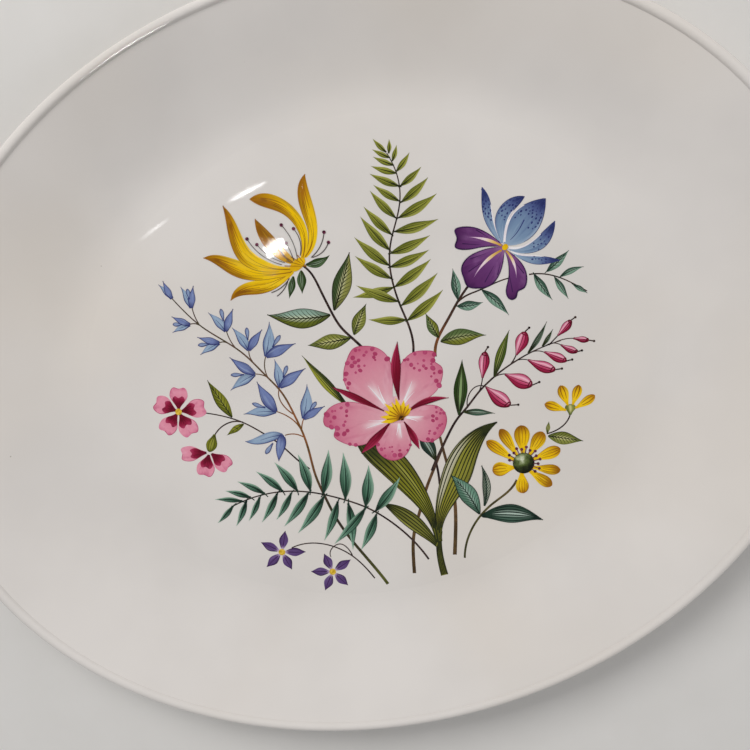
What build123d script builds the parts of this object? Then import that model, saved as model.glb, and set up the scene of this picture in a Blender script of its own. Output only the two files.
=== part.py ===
"""An oval china serving platter: fired clay body, glaze coats and a printed bouquet in enamel films.

Millimetres. The platter lies on its foot ring, +Z up, +X along its length.
The origin is at the middle of the foot ring, on the surface that the platter stands on.
"""
from build123d import *
from math import cos, radians, sin
import os

# Driving dimensions of the ware
length = 312.0            # over the lip, along X
width = 257.0             # over the lip, along Y
height = 22.5             # foot to the top of the lip
floor_top = 6.5           # top of the glaze on the flat floor of the well
floor_radius = 83.5       # flat part of the well, on the short axis
wall = 4.4                # thickness of the glazed wall and floor
rise_angle = 22.0         # slope of the wall where it meets the lip
bead = 1.75               # radius of the rolled lip
glaze = 0.3               # thickness of the glaze coat
foot_outer = 84.6         # foot ring, on the short axis
foot_inner = 78.8
foot_round = 0.8          # rounding of the edges that touch the table
bare_foot = 0.9           # the glaze stops this far above the table
grind = 0.5               # spare clay under the foot ring, ground off to leave it flat

# Driving dimensions of the print
film = 0.02               # thickness of one fired colour pass
tilt = -17.0              # the bouquet's upright, turned from the platter's short axis
filament = 0.26           # finest line that the screens print

half_width = width / 2
stretch = length / width  # the round shape below is stretched by this along X

os.makedirs("parts", exist_ok=True)


def finish(builder, name):
    """Names a finished piece and writes it out."""
    builder.part.label = name
    export_step(builder.part, f"parts/{name}.step")


# ---------------------------------------------------------------- ware

# Section points: radius on the short axis, and height
floor_edge = (floor_radius, floor_top)
wall_knee = (floor_radius + 13.7, floor_top + 2.8)
crease = (half_width - 3.4, height - 1.3)
lip_top = (half_width - bead, height)
lip_side = (half_width, height - bead)
lip_under = (half_width - 1.75, height - 2 * bead)
back_high = (half_width - 12.0, height - 9.0)
back_low = (floor_radius + 13.0, floor_top + 2.4 - wall)
foot_root = (foot_outer + 1.4, floor_top - wall + 0.1)
recess_edge = (foot_inner - 1.2, floor_top - wall)
recess_middle = (0, floor_top - wall)
steepness = (cos(radians(rise_angle)), sin(radians(rise_angle)))

with BuildSketch(Plane.XZ) as glazed_section:
    with BuildLine():
        Line((0, floor_top), floor_edge)
        Spline(floor_edge, wall_knee, crease, tangents=[(1, 0), steepness])
        ThreePointArc(crease, lip_top, lip_side)
        RadiusArc(lip_side, lip_under, bead)
        Spline(lip_under, back_high, back_low, foot_root, tangents=[(-1, -0.9), (-1, -0.1)])
        Polyline(foot_root, (foot_outer, 0), (foot_inner, 0), recess_edge, recess_middle)
        mirror(about=Plane.YZ)
    make_face()
    fillet(glazed_section.vertices().group_by(Axis.Y)[0], foot_round)

with BuildSketch(Plane.XZ) as foot_zone:
    with Locations((0, bare_foot / 2)):
        Rectangle(width, bare_foot)

with BuildSketch(Plane.XZ) as clay_section:
    add(glazed_section.sketch)
    offset(amount=-glaze)
    add(glazed_section.sketch & foot_zone.sketch)
    with Locations(((foot_inner + foot_outer) / 2, 0)):
        Rectangle(foot_outer - foot_inner - 2 * foot_round, 2 * grind)

with BuildSketch(Plane.XZ) as one_side:
    with Locations((half_width, 0)):
        Rectangle(width, 3 * height)

with BuildPart() as clay_body:
    with BuildSketch(Plane.XZ):
        add(clay_section.sketch & one_side.sketch)
    revolve(axis=Axis.Z)
    scale(by=(stretch, 1, 1))
    split(bisect_by=Plane.XY, keep=Keep.TOP)
finish(clay_body, "clay_body")

coats = ((glazed_section.sketch - clay_section.sketch) & one_side.sketch).faces().sort_by(Axis.Z)
for coat, name in zip(coats, ("foot_recess_glaze", "outer_glaze")):
    with BuildPart() as glaze_coat:
        with BuildSketch(Plane.XZ):
            add(coat)
        revolve(axis=Axis.Z)
        scale(by=(stretch, 1, 1))
    finish(glaze_coat, name)


# ---------------------------------------------------------------- print

# The bouquet is laid out in its own upright frame on the well floor, centred on the platter.
# Each colour pass is a film. Where shapes of one colour overlap they lie two passes apart, so that every
# petal and leaf stays a whole film of its own.
bouquet = Plane(origin=(0, 0, floor_top), x_dir=(cos(radians(tilt)), sin(radians(tilt)), 0))


def colour_pass(number):
    """The plane that one colour pass is printed on."""
    return bouquet.offset(number * film)


def midline(base, tip, bend):
    """A curved axis from base to tip: gives the point and the left-hand side direction at a share t."""
    start, end = Vector(*base), Vector(*tip)
    chord = end - start
    elbow = (start + end) * 0.5 + Vector(-chord.Y, chord.X) * bend

    def at(t):
        point = start * (1 - t) ** 2 + elbow * (2 * t * (1 - t)) + end * t**2
        heading = ((elbow - start) * (1 - t) + (end - elbow) * t).normalized()
        return point, Vector(-heading.Y, heading.X)

    return at


def side_points(axis, half, shares):
    """Points beside an axis: half is the widest reach, and each share is (place along, part of half)."""
    points = []
    for along, part in shares:
        point, side = axis(along)
        points.append(point + side * (half * part))
    return points


def blade(base, tip, wide, bend=0.0, belly=0.42, claw=0.5):
    """Draws one leaf or pointed petal: a narrow claw, two bowed sides and a sharp tip."""
    axis = midline(base, tip, bend)
    shares = [(0, claw / wide), (belly / 2, 0.74), (belly, 1), ((1 + belly) / 2, 0.58), (1, 0)]
    left = side_points(axis, wide / 2, shares)
    right = side_points(axis, -wide / 2, shares)
    with BuildSketch(Plane.XY) as outline:
        with BuildLine():
            Spline(left)
            Spline(right)
            Line(left[0], right[0])
        make_face()
    add(outline.sketch)


def free_blade(left, right, tip):
    """Draws one pointed shape from hand-set side points, each side from the claw up to the tip."""
    with BuildSketch(Plane.XY) as outline:
        with BuildLine():
            Spline(left + [tip])
            Spline(right + [tip])
            Line(left[0], right[0])
        make_face()
    add(outline.sketch)


def petal(base, tip, wide, bend=0.0, belly=0.6, claw=0.8, notch=0.0):
    """Draws one rounded petal, with the middle of its edge drawn in by the share notch of its length."""
    axis = midline(base, tip, bend)
    crown = (0.97, 0.55) if notch else (0.5 + belly / 2 + 0.08, 0.72)
    shares = [(0, claw / wide), (belly / 2, 0.6), (belly, 1), crown]
    left = side_points(axis, wide / 2, shares)
    right = side_points(axis, -wide / 2, shares)
    top = axis(1 - notch)[0]
    with BuildSketch(Plane.XY) as outline:
        with BuildLine():
            Spline(left + [top] + right[::-1])
            Line(left[0], right[0])
        make_face()
    add(outline.sketch)


def free_petal(points):
    """Draws one rounded petal from hand-set points that run from one side of its claw round to the other."""
    with BuildSketch(Plane.XY) as outline:
        with BuildLine():
            Spline(points)
            Line(points[0], points[-1])
        make_face()
    add(outline.sketch)


def stalk(points, thick, thin):
    """Draws one stalk through hand-set points, thick at the first and thin at the last."""
    last = len(points) - 1
    left, right = [], []
    for i, place in enumerate(points):
        ahead = Vector(*points[min(i + 1, last)])
        behind = Vector(*points[max(i - 1, 0)])
        heading = (ahead - behind).normalized()
        half = (thick + (thin - thick) * i / last) / 2
        side = Vector(-heading.Y, heading.X) * half
        left.append(Vector(*place) + side)
        right.append(Vector(*place) - side)
    with BuildSketch(Plane.XY) as outline:
        with BuildLine():
            Spline(left)
            Spline(right)
            Line(left[0], right[0])
            Line(left[-1], right[-1])
        make_face()
    add(outline.sketch)


def on_circle(centre, radius, angle):
    """A point at an angle in degrees round a centre."""
    return (centre[0] + radius * cos(radians(angle)), centre[1] + radius * sin(radians(angle)))


def dots(centres, radius):
    """Draws round dots of one size."""
    with Locations(*centres):
        Circle(radius)


# ---- yellow flower, upper left

with BuildPart() as yellow_flower_stem:
    with BuildSketch(colour_pass(0)):
        stalk([(-4.2, 5.5), (-8, 9.1), (-11.4, 12.4), (-14.9, 18), (-18.9, 26.1), (-21.2, 30.4),
               (-24.9, 33.9)], 0.95, 0.7)
    extrude(amount=film)
finish(yellow_flower_stem, "yellow_flower_stem")

with BuildPart() as yellow_flower_leaves:
    with BuildSketch(colour_pass(1)):
        blade((-13.9, 18.4), (-8.7, 38.2), 6.3, bend=-0.04, belly=0.47)
        blade((-15.2, 16.9), (-36.8, 16.8), 6.9, bend=0.12, belly=0.45)
        blade((-7.1, 10.0), (-3, 20.8), 4.6, bend=0.02)
        blade((-8.3, 8.9), (-23.0, 6.2), 5.4, bend=0.02, belly=0.47)
        blade((-23.4, 34.0), (-15.3, 37.3), 3.1, bend=-0.22)
        blade((-27.7, 30.0), (-29.2, 22.4), 2.5, bend=0.03)
        blade((-25.0, 32.0), (-24.7, 24), 3.2)
    extrude(amount=film)
finish(yellow_flower_leaves, "yellow_flower_leaves")

yellow_petals = {
    # colour pass: (left side, right side, tip) of each petal on it
    2: [
        (
            [(-27.6, 33.9), (-33.5, 36.4), (-38.4, 41.8)],
            [(-26.4, 34.8), (-30.2, 38.9), (-34.6, 43.8)],
            (-40.3, 49.2),
        ),
        (
            [(-24.4, 36.6), (-22.8, 40.3), (-22.5, 44.4), (-24.0, 49.6), (-25.8, 56.0), (-25.6, 60.4)],
            [(-23.3, 36.2), (-20.9, 39.0), (-19.5, 43.6), (-19.9, 50.4), (-21.6, 56.6), (-22.7, 60.4)],
            (-23.4, 64.0),
        ),
        (
            [(-27.4, 31.2), (-30.4, 28.2), (-34.8, 25.2), (-40.0, 23.8), (-45.2, 23.4)],
            [(-28.4, 32.6), (-33.0, 30.4), (-38.4, 28.9), (-44.0, 27.6), (-47.4, 25.4)],
            (-49.1, 21.6),
        ),
    ],
    4: [
        (
            [(-25.5, 34.9), (-24.9, 37.6), (-24.8, 41.0), (-26.6, 46.4), (-31.2, 51.0), (-37.6, 53.3)],
            [(-24.2, 35.2), (-22.9, 39.4), (-22.6, 44.0), (-25.4, 50.8), (-31.2, 56.0), (-38.0, 57.6)],
            (-42.0, 55.7),
        ),
        (
            [(-29.0, 30.3), (-33.0, 29.4), (-38.2, 28.6), (-44.0, 28.8), (-48.8, 30.5), (-53.8, 33.9)],
            [(-28.6, 32.3), (-34.5, 32.0), (-39.5, 32.6), (-44.6, 34.7), (-49.4, 36.3), (-54.2, 37.1)],
            (-58.0, 36.0),
        ),
    ],
    6: [
        (
            [(-29.0, 31.7), (-35.1, 31.3), (-40.8, 32.0), (-45.6, 34.9), (-48.6, 40.7), (-49.9, 47.6)],
            [(-27.4, 33.2), (-32.5, 33.5), (-37.4, 35.4), (-41.8, 38.6), (-44.8, 43.4), (-47.7, 49.6)],
            (-51.0, 53.5),
        ),
    ],
}
with BuildPart() as yellow_flower_petals:
    for number, shapes in yellow_petals.items():
        with BuildSketch(colour_pass(number)):
            for left, right, tip in shapes:
                free_blade(left, right, tip)
        extrude(amount=film)
finish(yellow_flower_petals, "yellow_flower_petals")

yellow_filaments = [
    # foot, half way, anther
    ((-31.5, 33.9), (-38.2, 37.0), (-43.1, 42.5)),
    ((-30.5, 34.6), (-36.0, 37.0), (-39.8, 40.6)),
    ((-28.5, 34.6), (-31.0, 37.2), (-32.6, 40.4)),
    ((-27.4, 35.2), (-28.4, 38.0), (-30.0, 41.2)),
    ((-26.2, 35.6), (-27.8, 41.6), (-31.5, 47.2)),
    ((-25.3, 37.0), (-25.2, 41.6), (-27.4, 46.0)),
    ((-21.6, 36.4), (-18.6, 40.0), (-17.2, 44.9)),
    ((-21.2, 36.4), (-17.8, 38.2), (-15.7, 41.5)),
]
with BuildPart() as yellow_flower_stamens:
    with BuildSketch(colour_pass(8)):
        for foot, half_way, anther in yellow_filaments:
            stalk([foot, half_way, anther], filament, filament)
        stalk([(-29.0, 29.3), (-31.5, 26.4), (-35.2, 24.4)], filament, filament)
        stalk([(-29.6, 28.2), (-30.9, 25.6), (-33.3, 23.2)], filament, filament)
    extrude(amount=film)
finish(yellow_flower_stamens, "yellow_flower_stamens")

with BuildPart() as yellow_flower_anthers:
    with BuildSketch(colour_pass(9)):
        dots([anther for foot, half_way, anther in yellow_filaments], 0.6)
    extrude(amount=film)
finish(yellow_flower_anthers, "yellow_flower_anthers")

# ---- fern, top middle

with BuildPart() as fern_stem:
    with BuildSketch(colour_pass(0)):
        stalk(
            [(13.2, 3), (12.9, 9), (11.1, 14.6), (8.9, 19.6), (6.3, 27), (4.9, 34.6), (5.3, 41.9),
             (7.1, 49.2), (8.2, 56), (7.3, 63.3), (5.5, 67.8), (3.6, 71)],
            0.85,
            0.3,
        )
    extrude(amount=film)
finish(fern_stem, "fern_stem")

# Each leaflet: where it leaves the stem, and its tip
fern_right = [
    ((11.1, 15.1), (23.2, 25.8)), ((9.1, 20.3), (21.2, 31.5)), ((6.7, 26.6), (18.9, 36.2)),
    ((5.1, 33.3), (18.2, 39.2)), ((5.1, 37.9), (18.5, 44.1)), ((6.5, 45.2), (21.2, 49.5)),
    ((7.8, 49.8), (20.5, 57.9)), ((8.7, 55.0), (17.5, 63.2)), ((8.3, 60.3), (15.2, 66.6)),
    ((6.9, 65.0), (11.2, 71.2)), ((5.5, 68.3), (6.9, 73.6)), ((4.3, 70.8), (4.4, 75.4)),
]
fern_left = [
    ((10.8, 15.3), (-2.3, 15.3)), ((7.9, 21.6), (-6.4, 27.0)), ((6.3, 26.4), (-7.6, 22.9)),
    ((5.5, 29.4), (-6.9, 37.0)), ((4.8, 33.8), (-7.1, 43.3)), ((4.9, 39.0), (-5.1, 50.2)),
    ((5.5, 44.2), (-4.0, 53.5)), ((6.8, 49.8), (-1.9, 58.7)), ((8.0, 55.3), (-0.8, 60.6)),
    ((7.9, 60.2), (-2.0, 64.2)), ((7.0, 64.4), (-1.6, 66.7)), ((6.0, 67.0), (-0.9, 69.7)),
    ((4.8, 69.4), (-1.2, 72.1)), ((3.5, 71.2), (-1.0, 75.5)),
]
fern_slimness = 0.2
with BuildPart() as fern_fronds:
    for number in (1, 3):
        with BuildSketch(colour_pass(number)):
            for foot, tip in fern_right[number // 2 :: 2]:
                reach = (Vector(*tip) - Vector(*foot)).length
                blade(foot, tip, 0.5 + fern_slimness * reach, -0.07, claw=0.3)
            for foot, tip in fern_left[number // 2 :: 2]:
                reach = (Vector(*tip) - Vector(*foot)).length
                blade(foot, tip, 0.4 + fern_slimness * reach, 0.05, claw=0.3)
        extrude(amount=film)
finish(fern_fronds, "fern_fronds")

# ---- iris, upper right

with BuildPart() as iris_stems:
    with BuildSketch(colour_pass(0)):
        stalk([(20.9, 2.6), (21.6, 8.7), (23.5, 12.8), (25.7, 16.9), (27.6, 20.6), (29.6, 24), (32.4, 28)],
              1.05, 0.8)
        stalk([(28.4, 21.7), (31.6, 24), (35.2, 25.5), (41.2, 28.3), (46, 29.9)], 0.65, 0.4)
        stalk([(52.1, 31), (55.6, 31.3), (61, 30.5), (66, 28.6), (72, 25.5)], 0.5, 0.35)
    extrude(amount=film)
finish(iris_stems, "iris_stems")

with BuildPart() as iris_green_leaves:
    with BuildSketch(colour_pass(1)):
        blade((21.9, 9.2), (17.3, 17.6), 3.7, bend=0.03)
        blade((22.6, 7.8), (38.2, 10.1), 5.7, bend=0.1, belly=0.4)
    extrude(amount=film)
finish(iris_green_leaves, "iris_green_leaves")

with BuildPart() as iris_teal_leaves:
    with BuildSketch(colour_pass(1)):
        blade((28.1, 22.6), (26.2, 32.9), 3.3, bend=-0.03)
        blade((36.4, 25.6), (45.8, 17.1), 3.3, bend=0.06)
        blade((28.1, 20.1), (36.8, 21.5), 3.4, bend=-0.1)
        blade((58.1, 32.1), (65.2, 39.3), 3.0, bend=-0.05)
        blade((53.9, 31.0), (60.4, 22.4), 3.0, bend=-0.06)
        blade((60.9, 30.0), (65.8, 22.8), 2.3)
        blade((62.8, 30.4), (70.5, 33.8), 2.1, bend=0.1)
        blade((67.4, 27.6), (72.2, 24.8), 1.7)
    extrude(amount=film)
finish(iris_teal_leaves, "iris_teal_leaves")

iris_blue = {
    # colour pass: (left side, right side, tip) of each petal on it
    2: [
        (
            [(45.6, 39.2), (49.6, 37.7), (54.4, 37.4), (58.6, 36.9)],
            [(45.8, 38.5), (49.4, 36.0), (53.6, 34.5), (58.4, 34.7)],
            (62.4, 35.9),
        ),
        (
            [(42.2, 41.4), (38.8, 45.2), (36.3, 49.8), (35.4, 55.0)],
            [(42.9, 41.9), (41.0, 45.4), (39.4, 50.0), (38.4, 55.0)],
            (35.4, 60.0),
        ),
    ],
    4: [
        (
            [(44.6, 40.2), (49.4, 40.4), (54.2, 43.5), (57.6, 46.8)],
            [(44.9, 39.4), (51.2, 38.1), (57.2, 40.4), (59.7, 44.8)],
            (60.1, 49.0),
        ),
        (
            [(42.6, 41.6), (40.7, 45.4), (40.2, 50.4), (42.8, 54.9)],
            [(43.6, 41.4), (43.9, 47.0), (45.5, 51.4), (47.9, 54.3)],
            (49.7, 57.0),
        ),
    ],
    6: [
        (
            [(43.3, 41.6), (43.7, 45.6), (45.9, 51.2), (50.6, 54.8)],
            [(44.6, 40.8), (49.8, 41.8), (53.8, 45.0), (56.2, 50.2)],
            (56.7, 56.4),
        ),
    ],
}
with BuildPart() as iris_blue_petals:
    for number, shapes in iris_blue.items():
        with BuildSketch(colour_pass(number)):
            for left, right, tip in shapes:
                free_blade(left, right, tip)
        extrude(amount=film)
finish(iris_blue_petals, "iris_blue_petals")

with BuildPart() as iris_purple_petals:
    with BuildSketch(colour_pass(8)):
        free_petal([(42.6, 40.1), (39.4, 40.4), (35.0, 40.0), (30.2, 39.3), (26.9, 40.3), (27.5, 43.1),
                    (26.7, 45.6), (30.4, 46.9), (35.6, 45.9), (39.8, 43.5), (42.9, 40.9)])
        free_petal([(43.9, 39.6), (47.6, 36.8), (50.4, 33.4), (51.4, 29.0), (50.2, 26.2), (48.5, 25.3),
                    (47.9, 23.2), (46.3, 22.5), (44.8, 24.0), (45.1, 29.0), (45.1, 33.6), (43.3, 39.2)])
    extrude(amount=film)
    with BuildSketch(colour_pass(10)):
        free_petal([(43.5, 39.6), (43.3, 36.0), (42.2, 31.4), (39.4, 27.5), (34.8, 26.3), (31.2, 27.2),
                    (30.2, 29.4), (29.2, 32.8), (30.8, 36.2), (34.8, 38.7), (39.2, 40.0), (42.7, 40.2)])
    extrude(amount=film)
finish(iris_purple_petals, "iris_purple_petals")

with BuildPart() as iris_flashes:
    with BuildSketch(colour_pass(11)):
        blade((42.5, 40.7), (30.6, 43.5), 1.0, bend=-0.12, belly=0.3, claw=0.7)
        blade((42.6, 39.2), (33.2, 29.4), 1.0, bend=-0.17, belly=0.3, claw=0.7)
        blade((44.1, 39.0), (47.8, 29.4), 0.9, bend=0.2, belly=0.3, claw=0.7)
    extrude(amount=film)
finish(iris_flashes, "iris_flashes")

# ---- bluebells, left

with BuildPart() as bluebell_stems:
    with BuildSketch(colour_pass(0)):
        stalk(
            [(5.2, -81.2), (-2, -71.9), (-8, -64.4), (-13.7, -55.8), (-17.8, -47.4), (-20.7, -40.4),
             (-22.7, -32.5), (-25, -25), (-27.7, -18.9), (-32.7, -9.8), (-37.3, -4.8), (-45.5, 3.4),
             (-51.6, 7.6), (-59.5, 12.7), (-65, 17.7), (-69.1, 22.2)],
            1.1,
            0.35,
        )
        stalk([(-60.2, 13.4), (-61.6, 16.2), (-62.4, 19.2)], 0.4, 0.35)
        stalk([(-59.9, 13.0), (-61.8, 13.6), (-63.5, 13.3)], 0.4, 0.35)
        stalk([(-50.4, 6.8), (-52, 7.3), (-53.6, 6.9)], 0.4, 0.35)
        stalk([(-47.8, 5.1), (-49.6, 7.8), (-50.9, 11.2)], 0.4, 0.35)
        stalk([(-42.2, 0.6), (-43.1, 2.4), (-43.3, 4.6)], 0.4, 0.35)
        stalk([(-37.0, -5.0), (-38.0, -1.4), (-37.5, 2.4)], 0.4, 0.35)
        stalk([(-36.9, -5.1), (-39.0, -4.2), (-41.6, -3.9)], 0.4, 0.35)
        stalk([(-27.9, -18.4), (-31.6, -15.2), (-33.2, -12.0), (-32.8, -8.4)], 0.45, 0.35)
        stalk([(-25.4, -24.2), (-28.0, -20.6), (-31.0, -18.5), (-34.2, -17.2)], 0.5, 0.35)
        stalk([(-25.4, -24.2), (-25.3, -22.0), (-24.6, -19.6)], 0.45, 0.35)
        stalk([(-24.9, -26.3), (-28.0, -25.3), (-31.3, -25.8)], 0.45, 0.35)
    extrude(amount=film)
finish(bluebell_stems, "bluebell_stems")

# Each bell: its foot, and the tips of its left lobe, right lobe and middle lobe
bells = [
    ((-69.1, 22.2), (-73.6, 26.9), (-72.0, 28.2), None),
    ((-62.6, 19.0), (-66.1, 26.2), (-61.7, 26.6), (-63.8, 25.6)),
    ((-63.3, 13.3), (-69.3, 10.4), (-69.5, 16.0), (-69.2, 13.3)),
    ((-53.4, 7.0), (-60.0, 2.7), (-60.9, 8.9), (-60.8, 6.1)),
    ((-51.0, 11.0), (-57.0, 17.4), (-48.4, 18.8), (-52.6, 18.8)),
    ((-43.3, 4.4), (-49.0, 12.3), (-38.6, 11.7), (-43.9, 12.4)),
    ((-37.4, 2.2), (-36.2, 14.4), (-27.2, 6.9), (-32.4, 9.8)),
    ((-41.4, -3.9), (-49.9, -9.8), (-50.0, 1.9), (-49.8, -4.3)),
    ((-32.8, -8.6), (-34.6, 1.3), (-23.9, -1.8), (-30.2, -0.8)),
    ((-34.2, -17.2), (-45.6, -18.3), (-40.8, -6.6), (-42.6, -14.3)),
    ((-24.7, -19.8), (-23.5, -7.4), (-17.3, -15.2), (-20.2, -13.6)),
]
lobe_slimness = 0.33
hooked_bell = (-31.6, -26.0)
with BuildPart() as bluebell_near_lobes:
    with BuildSketch(colour_pass(4)):
        for foot, left_tip, right_tip, middle_tip in bells:
            reach = (Vector(*left_tip) - Vector(*foot)).length
            blade(foot, left_tip, lobe_slimness * reach, bend=-0.09, belly=0.36, claw=1.1)
        free_blade([hooked_bell, (-35.0, -27.6), (-40.2, -29.1)], [(-32.2, -25.2), (-36.6, -24.6),
                   (-41.6, -26.7)], (-45.3, -28.1))
    extrude(amount=film)
finish(bluebell_near_lobes, "bluebell_near_lobes")

with BuildPart() as bluebell_far_lobes:
    with BuildSketch(colour_pass(5)):
        for foot, left_tip, right_tip, middle_tip in bells:
            reach = (Vector(*right_tip) - Vector(*foot)).length
            blade(foot, right_tip, lobe_slimness * reach, bend=0.05, belly=0.36, claw=1.1)
        free_blade([(-31.3, -26.4), (-31.0, -28.9), (-32.0, -32.0)], [(-32.9, -25.4), (-34.4, -28.6),
                   (-34.4, -32.2)], (-33.6, -35.2))
    extrude(amount=film)
finish(bluebell_far_lobes, "bluebell_far_lobes")

with BuildPart() as bluebell_tongues:
    with BuildSketch(colour_pass(6)):
        for foot, left_tip, right_tip, middle_tip in bells:
            if middle_tip:
                start = Vector(*foot) * 0.55 + Vector(*middle_tip) * 0.45
                petal((start.X, start.Y), middle_tip, 1.4, claw=0.35)
        petal((-35.6, -28.6), (-38.2, -32.6), 1.6, claw=0.35)
    extrude(amount=film)
finish(bluebell_tongues, "bluebell_tongues")

# ---- phlox, far left

with BuildPart() as phlox_stems:
    with BuildSketch(colour_pass(0)):
        stalk([(-22.8, -38), (-27.9, -33.9), (-33.2, -29), (-39.4, -24.8), (-45.8, -21.3), (-52, -19.2),
               (-60, -17.8)], 0.6, 0.4)
        stalk([(-45.8, -21.2), (-50.4, -21.2), (-53.6, -23), (-56.0, -26)], 0.5, 0.45)
    extrude(amount=film)
finish(phlox_stems, "phlox_stems")

with BuildPart() as phlox_leaves:
    with BuildSketch(colour_pass(1)):
        blade((-49.7, -19.4), (-58.0, -6.2), 4.1, bend=0.0)
        blade((-45.7, -21.8), (-51.7, -26.0), 2.3, bend=-0.04)
        petal((-56.0, -25.6), (-58.2, -32.0), 3.8, bend=0.05, belly=0.5)
    extrude(amount=film)
finish(phlox_leaves, "phlox_leaves")

phlox_centre = (-68.3, -17.5)
# Petals seen from the front: direction in degrees, reach and width
phlox_rays = [(88, 8.9, 6.2), (157, 9.0, 6.6), (234, 9.4, 6.2), (299, 9.7, 6.8), (371, 9.8, 6.6)]
# Petals seen from the side: foot, tip and width
phlox_side = [
    ((-59.0, -32.3), (-68.2, -32.9), 5.5),
    ((-58.2, -33.0), (-60.2, -41.0), 6.3),
    ((-57.3, -32.6), (-51.0, -38.0), 6.2),
]
eye_reach = 0.64          # the dark eye of a petal covers this share of its length
with BuildPart() as phlox_petals:
    with BuildSketch(colour_pass(2)):
        for turn, reach, wide in phlox_rays:
            foot = on_circle(phlox_centre, 1.0, turn)
            petal(foot, on_circle(phlox_centre, reach, turn), wide, notch=0.08)
        for foot, tip, wide in phlox_side:
            petal(foot, tip, wide, notch=0.07)
    extrude(amount=film)
finish(phlox_petals, "phlox_petals")

with BuildPart() as phlox_eyes:
    with BuildSketch(colour_pass(3)):
        for turn, reach, wide in phlox_rays:
            foot = on_circle(phlox_centre, 1.0, turn)
            tip = on_circle(phlox_centre, eye_reach * reach, turn)
            petal(foot, tip, 0.7 * wide, belly=0.7, notch=0.16)
        for foot, tip, wide in phlox_side:
            short_of = Vector(*foot) * (1 - eye_reach) + Vector(*tip) * eye_reach
            petal(foot, (short_of.X, short_of.Y), 0.7 * wide, belly=0.7, notch=0.12)
    extrude(amount=film)
finish(phlox_eyes, "phlox_eyes")

with BuildPart() as phlox_eye_dot:
    with BuildSketch(colour_pass(4)):
        dots([phlox_centre], 1.15)
    extrude(amount=film)
finish(phlox_eye_dot, "phlox_eye_dot")

# ---- vetch spray, lower left

with BuildPart() as vetch_stem:
    with BuildSketch(colour_pass(1)):
        stalk(
            [(19.8, -71.6), (13.6, -64), (6, -57.4), (-2.6, -52.2), (-12, -48.9), (-22, -46.7), (-33, -46.5),
             (-42, -48.4), (-50.2, -52)],
            0.7,
            0.4,
        )
    extrude(amount=film)
finish(vetch_stem, "vetch_stem")

vetch_above = [
    # base, tip, width
    ((-46.8, -50.1), (-56.6, -49.5), 1.9), ((-43.8, -48.7), (-52.8, -46.3), 2.2),
    ((-38.8, -47.2), (-48.5, -42.8), 2.4), ((-32.4, -46.3), (-41.8, -39.0), 2.8),
    ((-27.2, -46.1), (-35.2, -35.6), 3.3), ((-22.6, -46.0), (-26.9, -32.6), 3.6),
    ((-18.0, -47.0), (-16.1, -30.8), 3.9), ((-10.2, -49.0), (-11.0, -31.8), 4.1),
    ((-3.0, -51.8), (-2.0, -36.4), 4.2), ((0.6, -53.4), (9.2, -40.8), 3.8),
]
vetch_below = [
    ((-50.2, -51.9), (-55.8, -58.4), 1.9), ((-45.4, -50.0), (-49.2, -59.5), 2.2),
    ((-40.6, -48.6), (-44.7, -57.5), 2.0), ((-34.4, -47.2), (-40.0, -58.0), 2.5),
    ((-29.4, -47.0), (-34.8, -57.0), 2.3), ((-23.4, -47.0), (-32.1, -59.5), 3.1),
    ((-17.8, -48.2), (-27.2, -62.0), 3.4), ((-12.9, -50.0), (-17.8, -64.8), 3.1),
    ((-9.2, -50.6), (-7.5, -68.2), 3.4), ((0.8, -54.8), (-4.6, -68.2), 3.4),
]
with BuildPart() as vetch_leaflets:
    with BuildSketch(colour_pass(5)):
        for base, tip, wide in vetch_above:
            blade(base, tip, wide, bend=-0.05, claw=0.3)
        for base, tip, wide in vetch_below:
            blade(base, tip, wide, bend=0.06, claw=0.3)
    extrude(amount=film)
    with BuildSketch(colour_pass(7)):
        blade((-3.2, -52.6), (-14.2, -66.0), 3.3, bend=0.05, claw=0.3)
    extrude(amount=film)
finish(vetch_leaflets, "vetch_leaflets")

# ---- violet stars, bottom left

with BuildPart() as violet_stems:
    with BuildSketch(colour_pass(1)):
        stalk([(0.4, -79), (-3.6, -74.2), (-8.4, -70), (-14.6, -66.9), (-21.6, -65.7), (-29.5, -67.6)],
              0.5, 0.4)
        stalk([(-7.6, -70.6), (-9.2, -67.8), (-12, -66), (-14.8, -67.4), (-15.4, -71.0)], 0.4, 0.35)
    extrude(amount=film)
finish(violet_stems, "violet_stems")

# Each star: centre, and the directions in degrees and reach of its petals
violets = [
    ((-33.0, -69.2), [(81, 8.2), (154, 8.3), (226, 8.0), (298, 7.5), (361, 8.6)]),
    ((-14.8, -76.6), [(114, 7.5), (180, 7.8), (249, 7.7), (317, 7.6), (396, 8.0)]),
]
with BuildPart() as violet_petals:
    with BuildSketch(colour_pass(2)):
        for centre, rays in violets:
            for turn, reach in rays:
                blade(on_circle(centre, 1.0, turn), on_circle(centre, reach, turn), 3.2, belly=0.52)
    extrude(amount=film)
finish(violet_petals, "violet_petals")

with BuildPart() as violet_eyes:
    with BuildSketch(colour_pass(3)):
        dots([centre for centre, rays in violets], 1.2)
    extrude(amount=film)
finish(violet_eyes, "violet_eyes")

# ---- pink flower, middle

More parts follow.
